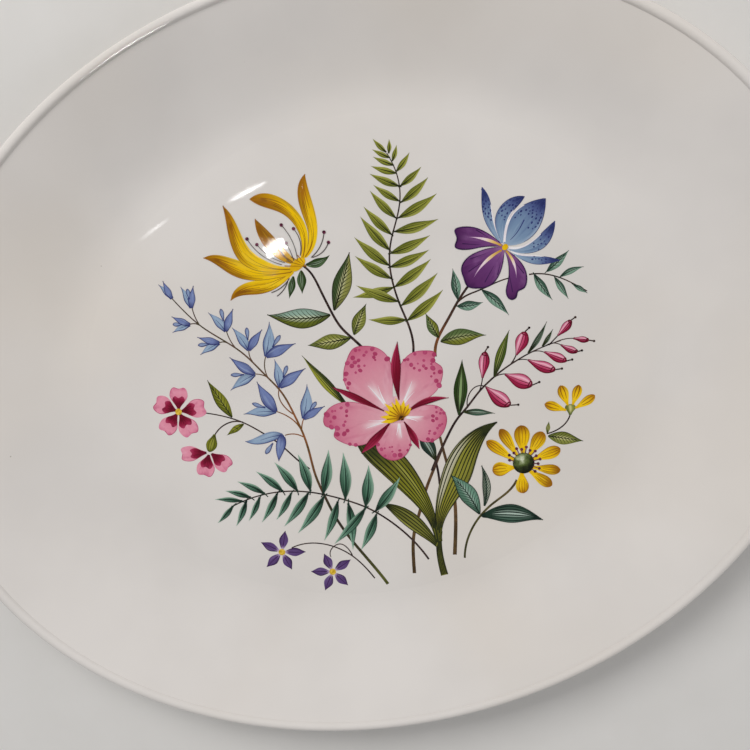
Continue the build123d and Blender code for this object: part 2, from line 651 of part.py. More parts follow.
pink_broad = {
    # colour pass: the points of each petal on it
    3: [
        [(11.4, -16.0), (17.4, -12.9), (21.6, -9.4), (23.5, -4.4), (22.8, -0.6), (20.6, 1.2), (20.8, 3.8),
         (17.6, 4.7), (12.6, 3.8), (8.8, -0.6), (7.7, -7.0), (8.2, -14.0)],
    ],
    5: [
        [(10.4, -20.2), (12.0, -23.4), (14.8, -26.7), (18.8, -28.0), (22.8, -26.2), (24.9, -22.4),
         (25.1, -18.4), (22.6, -15.2), (18.6, -14.5), (14.4, -15.3), (10.6, -18.2)],
        [(6.6, -13.4), (6.3, -7.0), (6.0, -1.4), (4.2, 2.9), (0.4, 5.7), (-3.4, 6.2), (-7.2, 5.4),
         (-9.6, 1.4), (-10.8, -3.4), (-9.8, -8.4), (-4.4, -12.8), (2.2, -16.2)],
    ],
    7: [
        [(5.8, -18.8), (1.0, -16.0), (-4.8, -14.1), (-11.4, -13.8), (-15.9, -16.0), (-17.8, -19.8),
         (-16.8, -22.6), (-13.7, -23.4), (-14.2, -25.4), (-11.8, -28.0), (-7.2, -29.4), (-2.0, -28.3),
         (2.0, -24.6), (6.2, -20.8)],
    ],
    9: [
        [(6.0, -21.2), (2.4, -25.2), (0.6, -29.2), (3.0, -33.3), (6.8, -34.7), (10.9, -32.9),
         (12.8, -29.0), (12.2, -24.8), (10.2, -20.8)],
    ],
}
with BuildPart() as pink_flower_petals:
    for number, shapes in pink_broad.items():
        with BuildSketch(colour_pass(number)):
            for points in shapes:
                free_petal(points)
        extrude(amount=film)
finish(pink_flower_petals, "pink_flower_petals")

with BuildPart() as pink_flower_sepals:
    with BuildSketch(colour_pass(10)):
        blade((8.5, -12.8), (7.8, 7.8), 3.3, bend=0.08, belly=0.62, claw=0.3)
        blade((3.4, -16.8), (-14.9, -8.3), 2.3, bend=-0.01, belly=0.64, claw=0.3)
        blade((11.2, -17.3), (25.8, -12.0), 2.1, bend=0.2, belly=0.6, claw=0.3)
        blade((5.6, -20.8), (-4.6, -32.2), 2.8, bend=0.03, belly=0.64, claw=0.3)
        blade((10.4, -20.6), (15.8, -30.5), 2.4, bend=0.05, belly=0.64, claw=0.3)
    extrude(amount=film)
finish(pink_flower_sepals, "pink_flower_sepals")

pink_centre = (9.5, -19.3)
pink_stamen_tips = [
    # direction in degrees, reach
    (193, 7.4), (177, 7.6), (157, 6.8), (139, 8.0), (122, 6.8), (107, 7.6), (84, 6.6), (64, 5.8), (48, 5.0),
]
with BuildPart() as pink_flower_stamens:
    with BuildSketch(colour_pass(11)):
        for turn, reach in pink_stamen_tips:
            blade(pink_centre, on_circle(pink_centre, reach, turn), 1.8, belly=0.55, claw=1.2)
        dots([pink_centre], 0.8)
    extrude(amount=film)
finish(pink_flower_stamens, "pink_flower_stamens")

with BuildPart() as pink_flower_leaves:
    with BuildSketch(colour_pass(2)):
        blade((-9.4, -15.0), (-25.0, 2.7), 3.3, bend=0.03, belly=0.45)
        blade((21.5, -34.6), (15.0, -24.6), 4.7, bend=-0.12, belly=0.55)
    extrude(amount=film)
finish(pink_flower_leaves, "pink_flower_leaves")

# ---- strap leaves and cut stems, bottom middle

with BuildPart() as cut_stems:
    with BuildSketch(colour_pass(0)):
        stalk([(14.7, -77), (14.2, -70), (14.3, -62.5), (16.2, -54), (18.5, -45), (20.8, -38.4),
               (23.8, -30)], 1.25, 1.0)
        stalk([(29.1, -69.8), (29.2, -60), (28.6, -49), (26.8, -40), (25.2, -34.2), (23, -26)], 1.4, 0.9)
    extrude(amount=film)
finish(cut_stems, "cut_stems")

with BuildPart() as strap_leaves:
    with BuildSketch(colour_pass(0)):
        stalk([(25.6, -77.6), (24.2, -72.2), (23.4, -66.6), (23.6, -61)], 2.6, 1.8)
    extrude(amount=film)
    with BuildSketch(colour_pass(2)):
        free_blade([(22.5, -67.0), (17.6, -63.3), (12.0, -59.5), (7.4, -55.2)], [(23.1, -65.2),
                   (19.6, -59.8), (14.8, -54.6), (9.2, -51.6)], (3.2, -50.7))
    extrude(amount=film)
    with BuildSketch(colour_pass(4)):
        free_blade([(21.9, -64.0), (18.0, -55.1), (9.4, -45.8), (1.2, -38.1), (-5.4, -30.4)], [(23.4, -63.6),
                   (20.9, -51.8), (16.0, -41.0), (10.2, -32.8), (1.6, -26.4)], (-6.8, -24.0))
    extrude(amount=film)
    with BuildSketch(colour_pass(6)):
        free_blade([(22.9, -64.6), (21.8, -54.0), (22.9, -44.0), (26.7, -32.2), (33.2, -24.6)],
                   [(24.5, -64.6), (25.6, -55.6), (29.4, -49.0), (33.8, -41.6), (35.7, -35.0), (38.6, -26.4)],
                   (42.8, -20.6))
    extrude(amount=film)
finish(strap_leaves, "strap_leaves")

# ---- pink bells, right

with BuildPart() as pink_bell_stems:
    with BuildSketch(colour_pass(1)):
        stalk(
            [(20.4, -38.4), (22, -34.1), (23.9, -29.7), (26.4, -24.1), (29.2, -19.1), (32, -15.6),
             (35.9, -10.2), (39.8, -5.9), (44.2, -2), (48.1, 0.8), (52.6, 3.6), (57, 5.8), (63.8, 8.4)],
            1.0,
            0.35,
        )
        stalk([(21.7, -35.0), (22.6, -39.0), (23.2, -43.4)], 0.8, 0.8)
        stalk([(36.4, -9.4), (37, -7.2), (37.3, -4.6)], 0.4, 0.35)
        stalk([(47, 0.2), (47.9, 1.6), (48.7, 3.5)], 0.45, 0.4)
        stalk([(59.8, 6.8), (61.2, 8.4), (62.8, 10.2)], 0.45, 0.4)
        stalk([(62, 7.8), (65, 8.9), (68.2, 9.2)], 0.35, 0.3)
        stalk([(58.4, 6.4), (61.2, 7.5), (64.1, 6.8)], 0.35, 0.3)
        stalk([(53.0, 3.8), (55.4, 4.7), (58.5, 4.2)], 0.35, 0.3)
        stalk([(47.8, 0.8), (50.2, 1.7), (53, 1.5)], 0.35, 0.3)
        stalk([(40.8, -5.0), (42.6, -3.9), (45.2, -3.4)], 0.4, 0.35)
        stalk([(32.3, -14.8), (32.6, -11.2), (34.6, -8.3), (38.7, -8)], 0.4, 0.35)
    extrude(amount=film)
finish(pink_bell_stems, "pink_bell_stems")

pink_bells = [
    # foot, mouth, width, bend, end of the style
    ((37.3, -4.9), (37.9, 4.4), 3.7, 0.0, (38.9, 6.0)),
    ((48.7, 3.2), (51.4, 11.4), 4.4, -0.03, (52.8, 12.8)),
    ((62.7, 10.1), (67.0, 15.5), 2.8, -0.04, (68.4, 16.5)),
    ((68.1, 9.2), (73.4, 8.6), 2.1, 0.0, (75.2, 8.3)),
    ((63.9, 6.9), (69.8, 4.6), 2.4, -0.08, (71.2, 5.0)),
    ((58.3, 4.4), (66.1, 1.3), 3.2, 0.0, (68.0, 1.8)),
    ((52.8, 1.6), (62.4, -1.8), 3.9, -0.08, (64.6, -1.4)),
    ((45.0, -3.5), (54.6, -7.3), 5.1, -0.02, (57.0, -6.2)),
    ((38.6, -8.0), (47.3, -14.5), 5.0, -0.08, (50.0, -14.3)),
]
with BuildPart() as pink_bell_flowers:
    with BuildSketch(colour_pass(2)):
        for foot, mouth, wide, bend, style in pink_bells:
            petal(foot, mouth, wide, bend, belly=0.55, claw=0.7)
    extrude(amount=film)
finish(pink_bell_flowers, "pink_bell_flowers")

with BuildPart() as pink_bell_styles:
    with BuildSketch(colour_pass(3)):
        for foot, mouth, wide, bend, style in pink_bells:
            stalk([mouth, style], 0.4, 0.4)
        dots([style for foot, mouth, wide, bend, style in pink_bells], 0.42)
    extrude(amount=film)
finish(pink_bell_styles, "pink_bell_styles")

with BuildPart() as pink_bell_leaves:
    with BuildSketch(colour_pass(2)):
        blade((41.3, -4.5), (46.0, 12.0), 3.2, bend=0.02, belly=0.48)
        blade((52.7, 4.0), (58.7, 15.0), 1.9, bend=-0.08)
        blade((57.5, 6.3), (60.9, 12.4), 1.5, bend=-0.06)
        blade((29.4, -18.2), (30.1, 1.6), 4.8, bend=-0.01, belly=0.48)
        blade((30.9, -17.0), (42.0, -17.4), 2.5, bend=0.02)
    extrude(amount=film)
finish(pink_bell_leaves, "pink_bell_leaves")

# ---- daisy, lower right

with BuildPart() as daisy_stem:
    with BuildSketch(colour_pass(0)):
        stalk([(32.7, -71), (33.4, -64.6), (36.6, -57), (42, -50.6), (48, -45.4), (50.4, -41.6)], 0.75, 0.85)
    extrude(amount=film)
finish(daisy_stem, "daisy_stem")

with BuildPart() as daisy_leaves:
    with BuildSketch(colour_pass(7)):
        blade((37.6, -54.4), (27.0, -39.9), 6.1, bend=-0.1, belly=0.5)
        blade((39.2, -51.3), (37.8, -36.4), 2.9, bend=-0.17, belly=0.5)
        blade((38.2, -55.1), (60.2, -56.4), 6.9, bend=0.15, belly=0.5)
    extrude(amount=film)
finish(daisy_leaves, "daisy_leaves")

daisy_centre = (52.6, -35.4)
daisy_rays = [
    # base, tip, width; neighbours lie on different passes
    ((52.2, -32.2), (51.4, -21.7), 5.5), ((54.4, -32.6), (59.0, -24.1), 4.8),
    ((55.6, -34.2), (65.3, -30.2), 4.5), ((55.6, -36.9), (65.6, -38.1), 3.7),
    ((54.4, -38.0), (62.8, -43.7), 3.9), ((52.0, -38.6), (52.6, -46.5), 4.6),
    ((49.6, -37.0), (41.7, -38.0), 5.2), ((49.5, -34.6), (39.4, -27.4), 3.9),
    ((50.4, -32.9), (44.0, -23.1), 3.8),
]
with BuildPart() as daisy_petals:
    for number in (2, 4):
        with BuildSketch(colour_pass(number)):
            for base, tip, wide in daisy_rays[number // 2 - 1 :: 2]:
                petal(base, tip, wide, belly=0.64, claw=1.2)
        extrude(amount=film)
finish(daisy_petals, "daisy_petals")

with BuildPart() as daisy_middle:
    with BuildSketch(colour_pass(5)):
        dots([daisy_centre], 3.8)
    extrude(amount=film)
finish(daisy_middle, "daisy_middle")

with BuildPart() as daisy_stamens:
    with BuildSketch(colour_pass(6)):
        for step in range(13):
            turn = 168 - 17 * step
            reach = 5.1 + 0.8 * (step % 2)
            stalk([on_circle(daisy_centre, 3.5, turn), on_circle(daisy_centre, reach, turn)], 0.3, 0.3)
            dots([on_circle(daisy_centre, reach, turn)], 0.52)
    extrude(amount=film)
finish(daisy_stamens, "daisy_stamens")

# ---- small yellow flower, right

with BuildPart() as small_yellow_stem:
    with BuildSketch(colour_pass(0)):
        stalk([(60.3, -24.7), (63.6, -23.4), (66.4, -21.2), (68.2, -17.6)], 0.45, 0.5)
    extrude(amount=film)
finish(small_yellow_stem, "small_yellow_stem")

with BuildPart() as small_yellow_leaves:
    with BuildSketch(colour_pass(1)):
        blade((60.5, -24.4), (60.9, -20.2), 1.5)
        blade((60.8, -25.5), (73.2, -27.2), 4.7, bend=0.0)
        petal((68.2, -17.8), (68.1, -14.0), 3.8, belly=0.7, claw=1.0)
    extrude(amount=film)
finish(small_yellow_leaves, "small_yellow_leaves")

with BuildPart() as small_yellow_petals:
    with BuildSketch(colour_pass(2)):
        petal((66.7, -16.2), (59.2, -13.9), 3.4, bend=0.0, claw=0.7)
        petal((67.2, -14.4), (64.4, -7.4), 3.7, claw=0.7)
        petal((68.9, -14.2), (70.9, -7.2), 3.3, claw=0.7)
        petal((69.8, -15.4), (76.4, -10.8), 3.2, bend=-0.04, claw=0.7)
    extrude(amount=film)
finish(small_yellow_petals, "small_yellow_petals")
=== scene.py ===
"""Looks for the oval china platter: glaze, bare clay, and the bouquet painted over its printed films."""
import math
import random

import bpy
import numpy as np
from mathutils import Matrix, Vector
from mathutils.geometry import delaunay_2d_cdt


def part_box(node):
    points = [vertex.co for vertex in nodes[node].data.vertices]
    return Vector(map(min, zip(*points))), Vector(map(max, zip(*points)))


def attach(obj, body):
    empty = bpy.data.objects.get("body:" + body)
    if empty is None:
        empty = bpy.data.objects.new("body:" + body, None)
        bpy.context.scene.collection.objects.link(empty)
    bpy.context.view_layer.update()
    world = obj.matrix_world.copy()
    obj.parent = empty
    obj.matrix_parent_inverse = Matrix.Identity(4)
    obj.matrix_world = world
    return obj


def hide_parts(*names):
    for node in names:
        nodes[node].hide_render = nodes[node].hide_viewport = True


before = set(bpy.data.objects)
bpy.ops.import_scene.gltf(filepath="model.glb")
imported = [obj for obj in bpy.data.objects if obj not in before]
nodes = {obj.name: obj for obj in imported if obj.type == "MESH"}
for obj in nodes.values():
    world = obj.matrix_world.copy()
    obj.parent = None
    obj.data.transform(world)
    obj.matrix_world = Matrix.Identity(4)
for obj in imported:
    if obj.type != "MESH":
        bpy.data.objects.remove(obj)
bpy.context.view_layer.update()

MM = 0.001
scene = bpy.context.scene


# ---- camera

well_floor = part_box("daisy_stem")[0][2]
lip_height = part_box("outer_glaze")[1][2]
lean_x = math.radians(3.73)       # the camera leans from the platter's normal, to +X and to +Y
lean_y = math.radians(11.3)
camera_roll = math.radians(-17.09)
camera_distance = 329.4 * MM      # from the aim, which is in the plane of the lip
aim = Vector((0, -0.7 * MM, lip_height))
lens = 48

towards_camera = Vector((math.tan(lean_x), math.tan(lean_y), 1)).normalized()
camera_place = aim + towards_camera * camera_distance
level_right = Vector((0, 1, 0)).cross(towards_camera).normalized()
level_up = towards_camera.cross(level_right)
right = level_right * math.cos(camera_roll) + level_up * math.sin(camera_roll)
up = level_up * math.cos(camera_roll) - level_right * math.sin(camera_roll)

camera_data = bpy.data.cameras.new("camera")
camera_data.lens = lens
camera_data.sensor_width = 36
camera_data.clip_start = 0.01
camera = bpy.data.objects.new("camera", camera_data)
scene.collection.objects.link(camera)
axes = Matrix((right, up, towards_camera)).transposed().to_4x4()
camera.matrix_world = Matrix.Translation(camera_place) @ axes
scene.camera = camera


# ---- light and floor

def area_light(name, place, target, power, size_x, size_y, colour=(1, 1, 1), spread=180, along=(1, 0, 0),
               mirrored=False):
    """A rectangular lamp that faces a target; it lights the room, or else only shows as a reflection."""
    data = bpy.data.lights.new(name, "AREA")
    data.shape = "RECTANGLE"
    data.size, data.size_y = size_x, size_y
    data.energy = power
    data.color = colour
    data.spread = math.radians(spread)
    lamp = bpy.data.objects.new(name, data)
    lamp.location = place
    back = (Vector(place) - Vector(target)).normalized()
    side = back.cross(Vector(along)).normalized()
    lamp.rotation_euler = Matrix((side.cross(back), side, back)).transposed().to_euler()
    lamp.visible_glossy = mirrored
    lamp.visible_diffuse = not mirrored
    scene.collection.objects.link(lamp)


def mirror_spot(x, y, reach):
    """Where a lamp has to be for the floor of the well to show its reflection at x, y."""
    spot = Vector((x, y, well_floor))
    ray = (spot - camera_place).normalized()
    ray.z = -ray.z
    return spot + ray * reach, spot


area_light("key", (-0.33, 1.02, 1.06), (0, 0, 0), 13, 0.9, 0.6, (1, 0.985, 0.97))
area_light("fill", (0.9, -0.5, 0.9), (0, 0, 0), 3.1, 1.1, 0.9, (1, 0.97, 0.95))
area_light("lip_glint", (0.024, -0.771, 0.467), (-0.0444, 0.1224, 0.0225), 0.007, 0.12, 0.12, spread=6.5,
    mirrored=True)
lamp_reach = 0.75
mirrored_lamps = (    # name, place of the reflection in millimetres, power, size, spread in degrees, direction
    ("glint", -20.9, 47.8, 4.6e-5, 0.023, 0.0135, 4, (1, 0.2, 0)),
    ("streak", -24.1, 68, 2.6e-6, 0.044, 0.0018, 2.5, (13.9, 2.7, 0)),
    ("faint_streak", -57.4, 65.3, 3.0e-7, 0.04, 0.003, 2, (12.1, 4, 0)))
for name, x, y, power, size_x, size_y, spread, along in mirrored_lamps:
    lamp_place, spot = mirror_spot(x * MM, y * MM, lamp_reach)
    area_light(name, lamp_place, spot, power, size_x, size_y, spread=spread, along=along, mirrored=True)

world = bpy.data.worlds.new("studio")
world.use_nodes = True
sky = world.node_tree.nodes["Background"]
sky.inputs["Color"].default_value = (0.82, 0.83, 0.85, 1)
sky.inputs["Strength"].default_value = 0.37
scene.world = world
scene.view_settings.view_transform = "Standard"

floor_mesh = bpy.data.meshes.new("studio_floor")
floor_reach = 3
floor_corners = [(x * floor_reach, y * floor_reach, 0) for x, y in ((-1, -1), (1, -1), (1, 1), (-1, 1))]
floor_mesh.from_pydata(floor_corners, [], [(0, 1, 2, 3)])
floor = bpy.data.objects.new("studio_floor", floor_mesh)
scene.collection.objects.link(floor)


# ---- node helpers

def linear(rgb, lift=1):
    """An sRGB colour from 0 to 255 as the linear colour that shaders take, made lighter by a factor."""
    out = []
    for value in rgb:
        share = value / 255
        light = share / 12.92 if share <= 0.04045 else ((share + 0.055) / 1.055) ** 2.4
        out.append(min(light * lift, 0.95))
    return (*out, 1)


def darker(rgb, share):
    return tuple(share * value for value in rgb)


class Paint:
    """A node material that is built up step by step."""

    def __init__(self, name, roughness, specular=0.5, lift=1):
        self.lift = lift
        self.material = bpy.data.materials.new(name)
        self.material.use_nodes = True
        self.tree = self.material.node_tree
        self.shader = self.tree.nodes["Principled BSDF"]
        self.shader.inputs["Roughness"].default_value = roughness
        self.shader.inputs["Specular IOR Level"].default_value = specular

    def node(self, kind, **settings):
        made = self.tree.nodes.new(kind)
        for key, value in settings.items():
            setattr(made, key, value)
        return made

    def link(self, out, into):
        self.tree.links.new(out, into)

    def value(self, source, socket):
        """Puts a number or a node's output into a socket."""
        if hasattr(source, "is_output"):
            self.link(source, socket)
        else:
            socket.default_value = source

    def math(self, operation, first, second=0, third=0):
        made = self.node("ShaderNodeMath", operation=operation)
        for source, socket in zip((first, second, third), made.inputs):
            self.value(source, socket)
        return made.outputs[0]

    def span(self, source, low, high, to_low=0, to_high=1, smooth=True):
        """Maps low..high of a value to to_low..to_high."""
        made = self.node("ShaderNodeMapRange", interpolation_type="SMOOTHSTEP" if smooth else "LINEAR")
        for source_value, key in zip((source, low, high, to_low, to_high),
                ("Value", "From Min", "From Max", "To Min", "To Max")):
            self.value(source_value, made.inputs[key])
        return made.outputs["Result"]

    def ramp(self, source, stops):
        """A colour ramp over (place, sRGB colour) stops."""
        made = self.node("ShaderNodeValToRGB")
        bar = made.color_ramp.elements
        while len(bar) < len(stops):
            bar.new(0.5)
        for stop, (place, colour) in zip(bar, stops):
            stop.position = place
            stop.color = linear(colour, self.lift)
        self.link(source, made.inputs["Fac"])
        return made.outputs["Color"]

    def mix(self, share, first, second):
        """Mixes two colours, which are sRGB triples or node outputs."""
        made = self.node("ShaderNodeMix", data_type="RGBA")
        self.value(share, made.inputs[0])
        for source, socket in ((first, made.inputs[6]), (second, made.inputs[7])):
            if isinstance(source, tuple):
                socket.default_value = linear(source, self.lift)
            else:
                self.link(source, socket)
        return made.outputs[2]

    def noise(self, vector, scale, detail=2, roughness=0.5):
        made = self.node("ShaderNodeTexNoise")
        made.inputs["Scale"].default_value = scale
        made.inputs["Detail"].default_value = detail
        made.inputs["Roughness"].default_value = roughness
        self.link(vector, made.inputs["Vector"])
        return made.outputs["Fac"]

    def place(self):
        """The position on the platter, in metres."""
        return self.node("ShaderNodeTexCoord").outputs["Object"]

    def bump(self, source, distance, strength):
        made = self.node("ShaderNodeBump")
        made.inputs["Distance"].default_value = distance
        made.inputs["Strength"].default_value = strength
        self.link(source, made.inputs["Height"])
        self.link(made.outputs["Normal"], self.shader.inputs["Normal"])

    def gloss(self, low, high, scale):
        """Roughness that wanders between two values."""
        wander = self.noise(self.place(), scale, 3)
        self.link(self.span(wander, 0.3, 0.7, low, high), self.shader.inputs["Roughness"])

    def colour(self, source):
        self.link(source, self.shader.inputs["Base Color"])

    def fired(self, grain=None):
        """Ends an enamel with the soft sheen and the fine grain of a fired print."""
        if grain is None:
            grain = self.noise(self.place(), enamel_grain, 3)
        self.gloss(*enamel_sheen, 120)
        self.bump(grain, 0.00001, 0.25)
        return self.material


# ---- glaze and clay

def glaze_material(name, tint, low_gloss, high_gloss):
    """Warm white gloss glaze: faint tone clouds, a few pin spots, and a surface that ripples slightly."""
    paint = Paint(name, low_gloss, 0.5)
    place = paint.place()
    clouds = paint.noise(place, 22, 3)
    base = paint.mix(paint.span(clouds, 0.3, 0.7), tint, tuple(value - 7 for value in tint))
    warm = paint.noise(place, 9, 2)
    base = paint.mix(paint.span(warm, 0.45, 0.75, 0, 0.5), base, (tint[0], tint[1] - 5, tint[2] - 13))
    cells = paint.node("ShaderNodeTexVoronoi")
    cells.inputs["Scale"].default_value = 210
    paint.link(place, cells.inputs["Vector"])
    pins = paint.span(cells.outputs["Distance"], 0.035, 0.055, 1, 0)
    sparse = paint.span(paint.noise(place, 60, 1), 0.66, 0.70)
    spots = paint.math("MULTIPLY", pins, sparse)
    base = paint.mix(paint.math("MULTIPLY", spots, 0.55), base, (120, 98, 72))
    paint.colour(base)
    paint.gloss(low_gloss, high_gloss, 35)
    ripple = paint.noise(place, 28, 2)
    peel = paint.noise(place, 420, 2)
    height = paint.math("MULTIPLY_ADD", peel, 0.012, ripple)
    paint.bump(height, 0.00012, 0.35)
    return paint.material


def clay_material():
    """Bare fired clay: matt, granular, greyed where the foot has rubbed on tables."""
    paint = Paint("bare_clay", 0.8, 0.3)
    place = paint.place()
    grain = paint.noise(place, 900, 4, 0.65)
    base = paint.ramp(grain, [(0.25, (205, 192, 170)), (0.6, (232, 222, 204)), (0.85, (240, 232, 216))])
    rub = paint.noise(place, 70, 3)
    base = paint.mix(paint.span(rub, 0.5, 0.72, 0, 0.6), base, (168, 156, 140))
    paint.colour(base)
    paint.bump(grain, 0.00012, 0.6)
    return paint.material


def dress(node, material):
    """Gives a CAD node a material in place of the plain one."""
    for slot in nodes[node].material_slots:
        slot.material = material


face_glaze = glaze_material("gloss_glaze", (235, 230, 225), 0.012, 0.032)
dress("outer_glaze", face_glaze)
dress("foot_recess_glaze", face_glaze)
dress("clay_body", clay_material())


# ---- film outlines

film = 0.02 * MM                # step from one colour pass to the next
film_thickness = 0.012 * MM     # what shows of a pass, so that its ink lies below the next pass
ink_height = 0.006 * MM
edge_inset = 0.1                # from a film's side to the line that follows it, in millimetres
petiole_root = 0.8              # how far a short stalk runs on into its leaf, in millimetres
sharp_turn = math.radians(24)   # a corner of a film
tip_turn = math.radians(60)     # a pointed tip
row_density = 1.6               # divisions of a film for each millimetre of its length
column_density = 1.3            # and of its width
fan_spacing = 0.7               # between the inner points of a broad film, in millimetres
fan_margin = 0.3                # which they keep from its outline


def film_outlines(node):
    """The outlines of a node's films seen from above, anticlockwise, each with the height of its underside."""
    mesh = nodes[node].data
    mesh.calc_loop_triangles()
    edges = set()
    for triangle in mesh.loop_triangles:
        heights = [mesh.vertices[i].co.z for i in triangle.vertices]
        if triangle.normal.z > 0 and max(heights) - min(heights) < 0.02 * film:
            a, b, c = triangle.vertices
            edges.update(((a, b), (b, c), (c, a)))
    follow = {a: b for a, b in edges if (b, a) not in edges}
    outlines = []
    for first in sorted(follow):
        if first not in follow:
            continue
        loop, current = [first], follow.pop(first)
        while current != first:
            loop.append(current)
            current = follow.pop(current)
        points = np.array([mesh.vertices[i].co[:2] for i in loop])
        outlines.append((points, mesh.vertices[first].co.z - film))
    return outlines


def turns(points):
    """The anticlockwise turn at each point of a closed outline."""
    ahead = np.roll(points, -1, 0) - points
    behind = points - np.roll(points, 1, 0)
    cross = behind[:, 0] * ahead[:, 1] - behind[:, 1] * ahead[:, 0]
    dot = (behind * ahead).sum(1)
    return np.arctan2(cross, dot)


def even_points(points, count):
    """count + 1 points at equal steps along a polyline."""
    steps = np.hypot(*np.diff(points, axis=0).T)
    run = np.concatenate(([0], np.cumsum(steps)))
    wanted = np.linspace(0, run[-1], count + 1)
    return np.stack([np.interp(wanted, run, points[:, k]) for k in (0, 1)], 1)


class Petal:
    """One film as a patch: u runs across it from its left side, v from its claw to its tip."""

    steps = 64

    def __init__(self, points, height, seed):
        self.height, self.seed = height, seed
        bend = turns(points)
        corners = [i for i in range(len(points)) if bend[i] > sharp_turn]
        pairs = [i for i in corners if (i + 1) % len(points) in corners]
        if not pairs:
            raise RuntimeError("a film has no claw")
        claw = max(pairs, key=lambda i: bend[i] + bend[(i + 1) % len(points)])
        ring = np.roll(points, -(claw + 1), 0)      # from the claw's right end round to its left end
        turn = np.roll(bend, -(claw + 1))
        inner = turn[1:-1]
        run = np.concatenate(([0], np.cumsum(np.hypot(*np.diff(ring, axis=0).T))))
        if inner.max() > tip_turn:
            tip = 1 + int(inner.argmax())
        else:
            tip = int(np.abs(run - run[-1] / 2).argmin())
        self.right = even_points(ring[:tip + 1], self.steps)
        self.left = even_points(ring[tip:][::-1], self.steps)
        middle = (self.left + self.right) / 2
        self.length = float(np.hypot(*np.diff(middle, axis=0).T).sum())
        self.width = float(np.hypot(*(self.left - self.right).T).max())

    def at(self, u, v):
        """The place of u, v on the film."""
        along = min(max(v, 0), 1) * self.steps
        i = min(int(along), self.steps - 1)
        share = along - i
        left = self.left[i] * (1 - share) + self.left[i + 1] * share
        right_side = self.right[i] * (1 - share) + self.right[i + 1] * share
        return left * (1 - u) + right_side * u

    def grid(self):
        """Points that fill the film, their u and v, and the faces between them, anticlockwise."""
        rows = max(10, min(44, int(self.length / MM * row_density)))
        columns = max(4, min(14, int(self.width / MM * column_density)))
        wanted = [(column / columns, row / rows) for row in range(rows) for column in range(columns + 1)]
        wanted.append((0.5, 1))
        faces = []
        for row in range(rows - 1):
            for a in range(row * (columns + 1), row * (columns + 1) + columns):
                faces.append((a, a + 1, a + columns + 2, a + columns + 1))
        for a in range((rows - 1) * (columns + 1), rows * (columns + 1) - 1):
            faces.append((a, a + 1, rows * (columns + 1)))
        u, v = np.array(wanted).T
        return np.array([self.at(*place) for place in wanted]), u, v, faces


class Fan(Petal):
    """One broad film, perhaps notched: u is the angle about a hub behind its claw, v the way out from it."""

    def __init__(self, points, height, seed):
        super().__init__(points, height, seed)
        self.points = points
        claw = (self.left[0] + self.right[0]) / 2
        self.forward = (self.left[-1] - claw) / np.hypot(*(self.left[-1] - claw))
        self.inner = 0.45 * np.hypot(*(self.right[0] - self.left[0]))
        self.hub = claw - self.forward * self.inner
        self.outer = np.hypot(*(points - self.hub).T).max()
        turned = self.turned(points)
        self.first, self.last = turned.max(), turned.min()

    def turned(self, points):
        """The angle of points about the hub, from the film's middle to its left."""
        away = points - self.hub
        side = self.forward[0] * away[:, 1] - self.forward[1] * away[:, 0]
        return np.arctan2(side, away @ self.forward)

    def at(self, u, v):
        turn = self.first + (self.last - self.first) * u
        c, s = math.cos(turn), math.sin(turn)
        ray = np.array((self.forward[0] * c - self.forward[1] * s, self.forward[0] * s + self.forward[1] * c))
        start, edge = self.points - self.hub, np.roll(self.points, -1, 0) - self.points
        cross = ray[0] * edge[:, 1] - ray[1] * edge[:, 0]
        cross = np.where(np.abs(cross) < 1e-15, 1e-15, cross)
        share = (start[:, 0] * ray[1] - start[:, 1] * ray[0]) / cross
        reach = (start[:, 0] * edge[:, 1] - start[:, 1] * edge[:, 0]) / cross
        hits = reach[(share >= 0) & (share <= 1) & (reach > 0)]
        near, far = (hits.min(), hits.max()) if len(hits) else (self.inner, self.outer)
        return self.hub + ray * (near + (far - near) * min(max(v, 0), 1))

    def grid(self):
        outline = self.points / MM
        low, high = outline.min(0), outline.max(0)
        lattice = np.array([(x, y) for x in np.arange(low[0], high[0], fan_spacing) for y in np.arange(low[1],
            high[1], fan_spacing)])
        ends = np.roll(outline, -1, 0)
        inside = np.zeros(len(lattice), bool)
        clear = np.ones(len(lattice), bool)
        for a, b in zip(outline, ends):
            spans = (a[1] > lattice[:, 1]) != (b[1] > lattice[:, 1])
            rise = b[1] - a[1] if b[1] != a[1] else 1e-9
            inside ^= spans & (lattice[:, 0] < a[0] + (lattice[:, 1] - a[1]) * (b[0] - a[0]) / rise)
            edge = b - a
            along = np.clip((lattice - a) @ edge / max(edge @ edge, 1e-12), 0, 1)
            clear &= np.hypot(*(lattice - a - along[:, None] * edge).T) > fan_margin
        spots = [Vector(point) for point in np.concatenate((outline, lattice[inside & clear]))]
        filled = delaunay_2d_cdt(spots, [], [list(range(len(outline)))], 1, 1e-5)
        places = np.array(filled[0]) * MM
        faces = []
        for face in filled[2]:
            a, b, c = (places[i] for i in face[:3])
            area = (b[0] - a[0]) * (c[1] - a[1]) - (b[1] - a[1]) * (c[0] - a[0])
            faces.append(tuple(face) if area > 0 else tuple(face)[::-1])
        u = (self.first - self.turned(places)) / (self.first - self.last)
        v = (np.hypot(*(places - self.hub).T) - self.inner) / (self.outer - self.inner)
        return places, np.clip(u, 0, 1), np.clip(v, 0, 1), faces


# ---- meshes of the print

def add_piece(name, vertices, faces, material):
    """Makes a mesh piece of the platter with its faces turned outwards."""
    mesh = bpy.data.meshes.new(name)
    mesh.from_pydata(vertices, [], faces)
    mesh.update()
    piece = bpy.data.objects.new(name, mesh)
    scene.collection.objects.link(piece)
    mesh.materials.append(material)
    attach(piece, "root")
    return piece


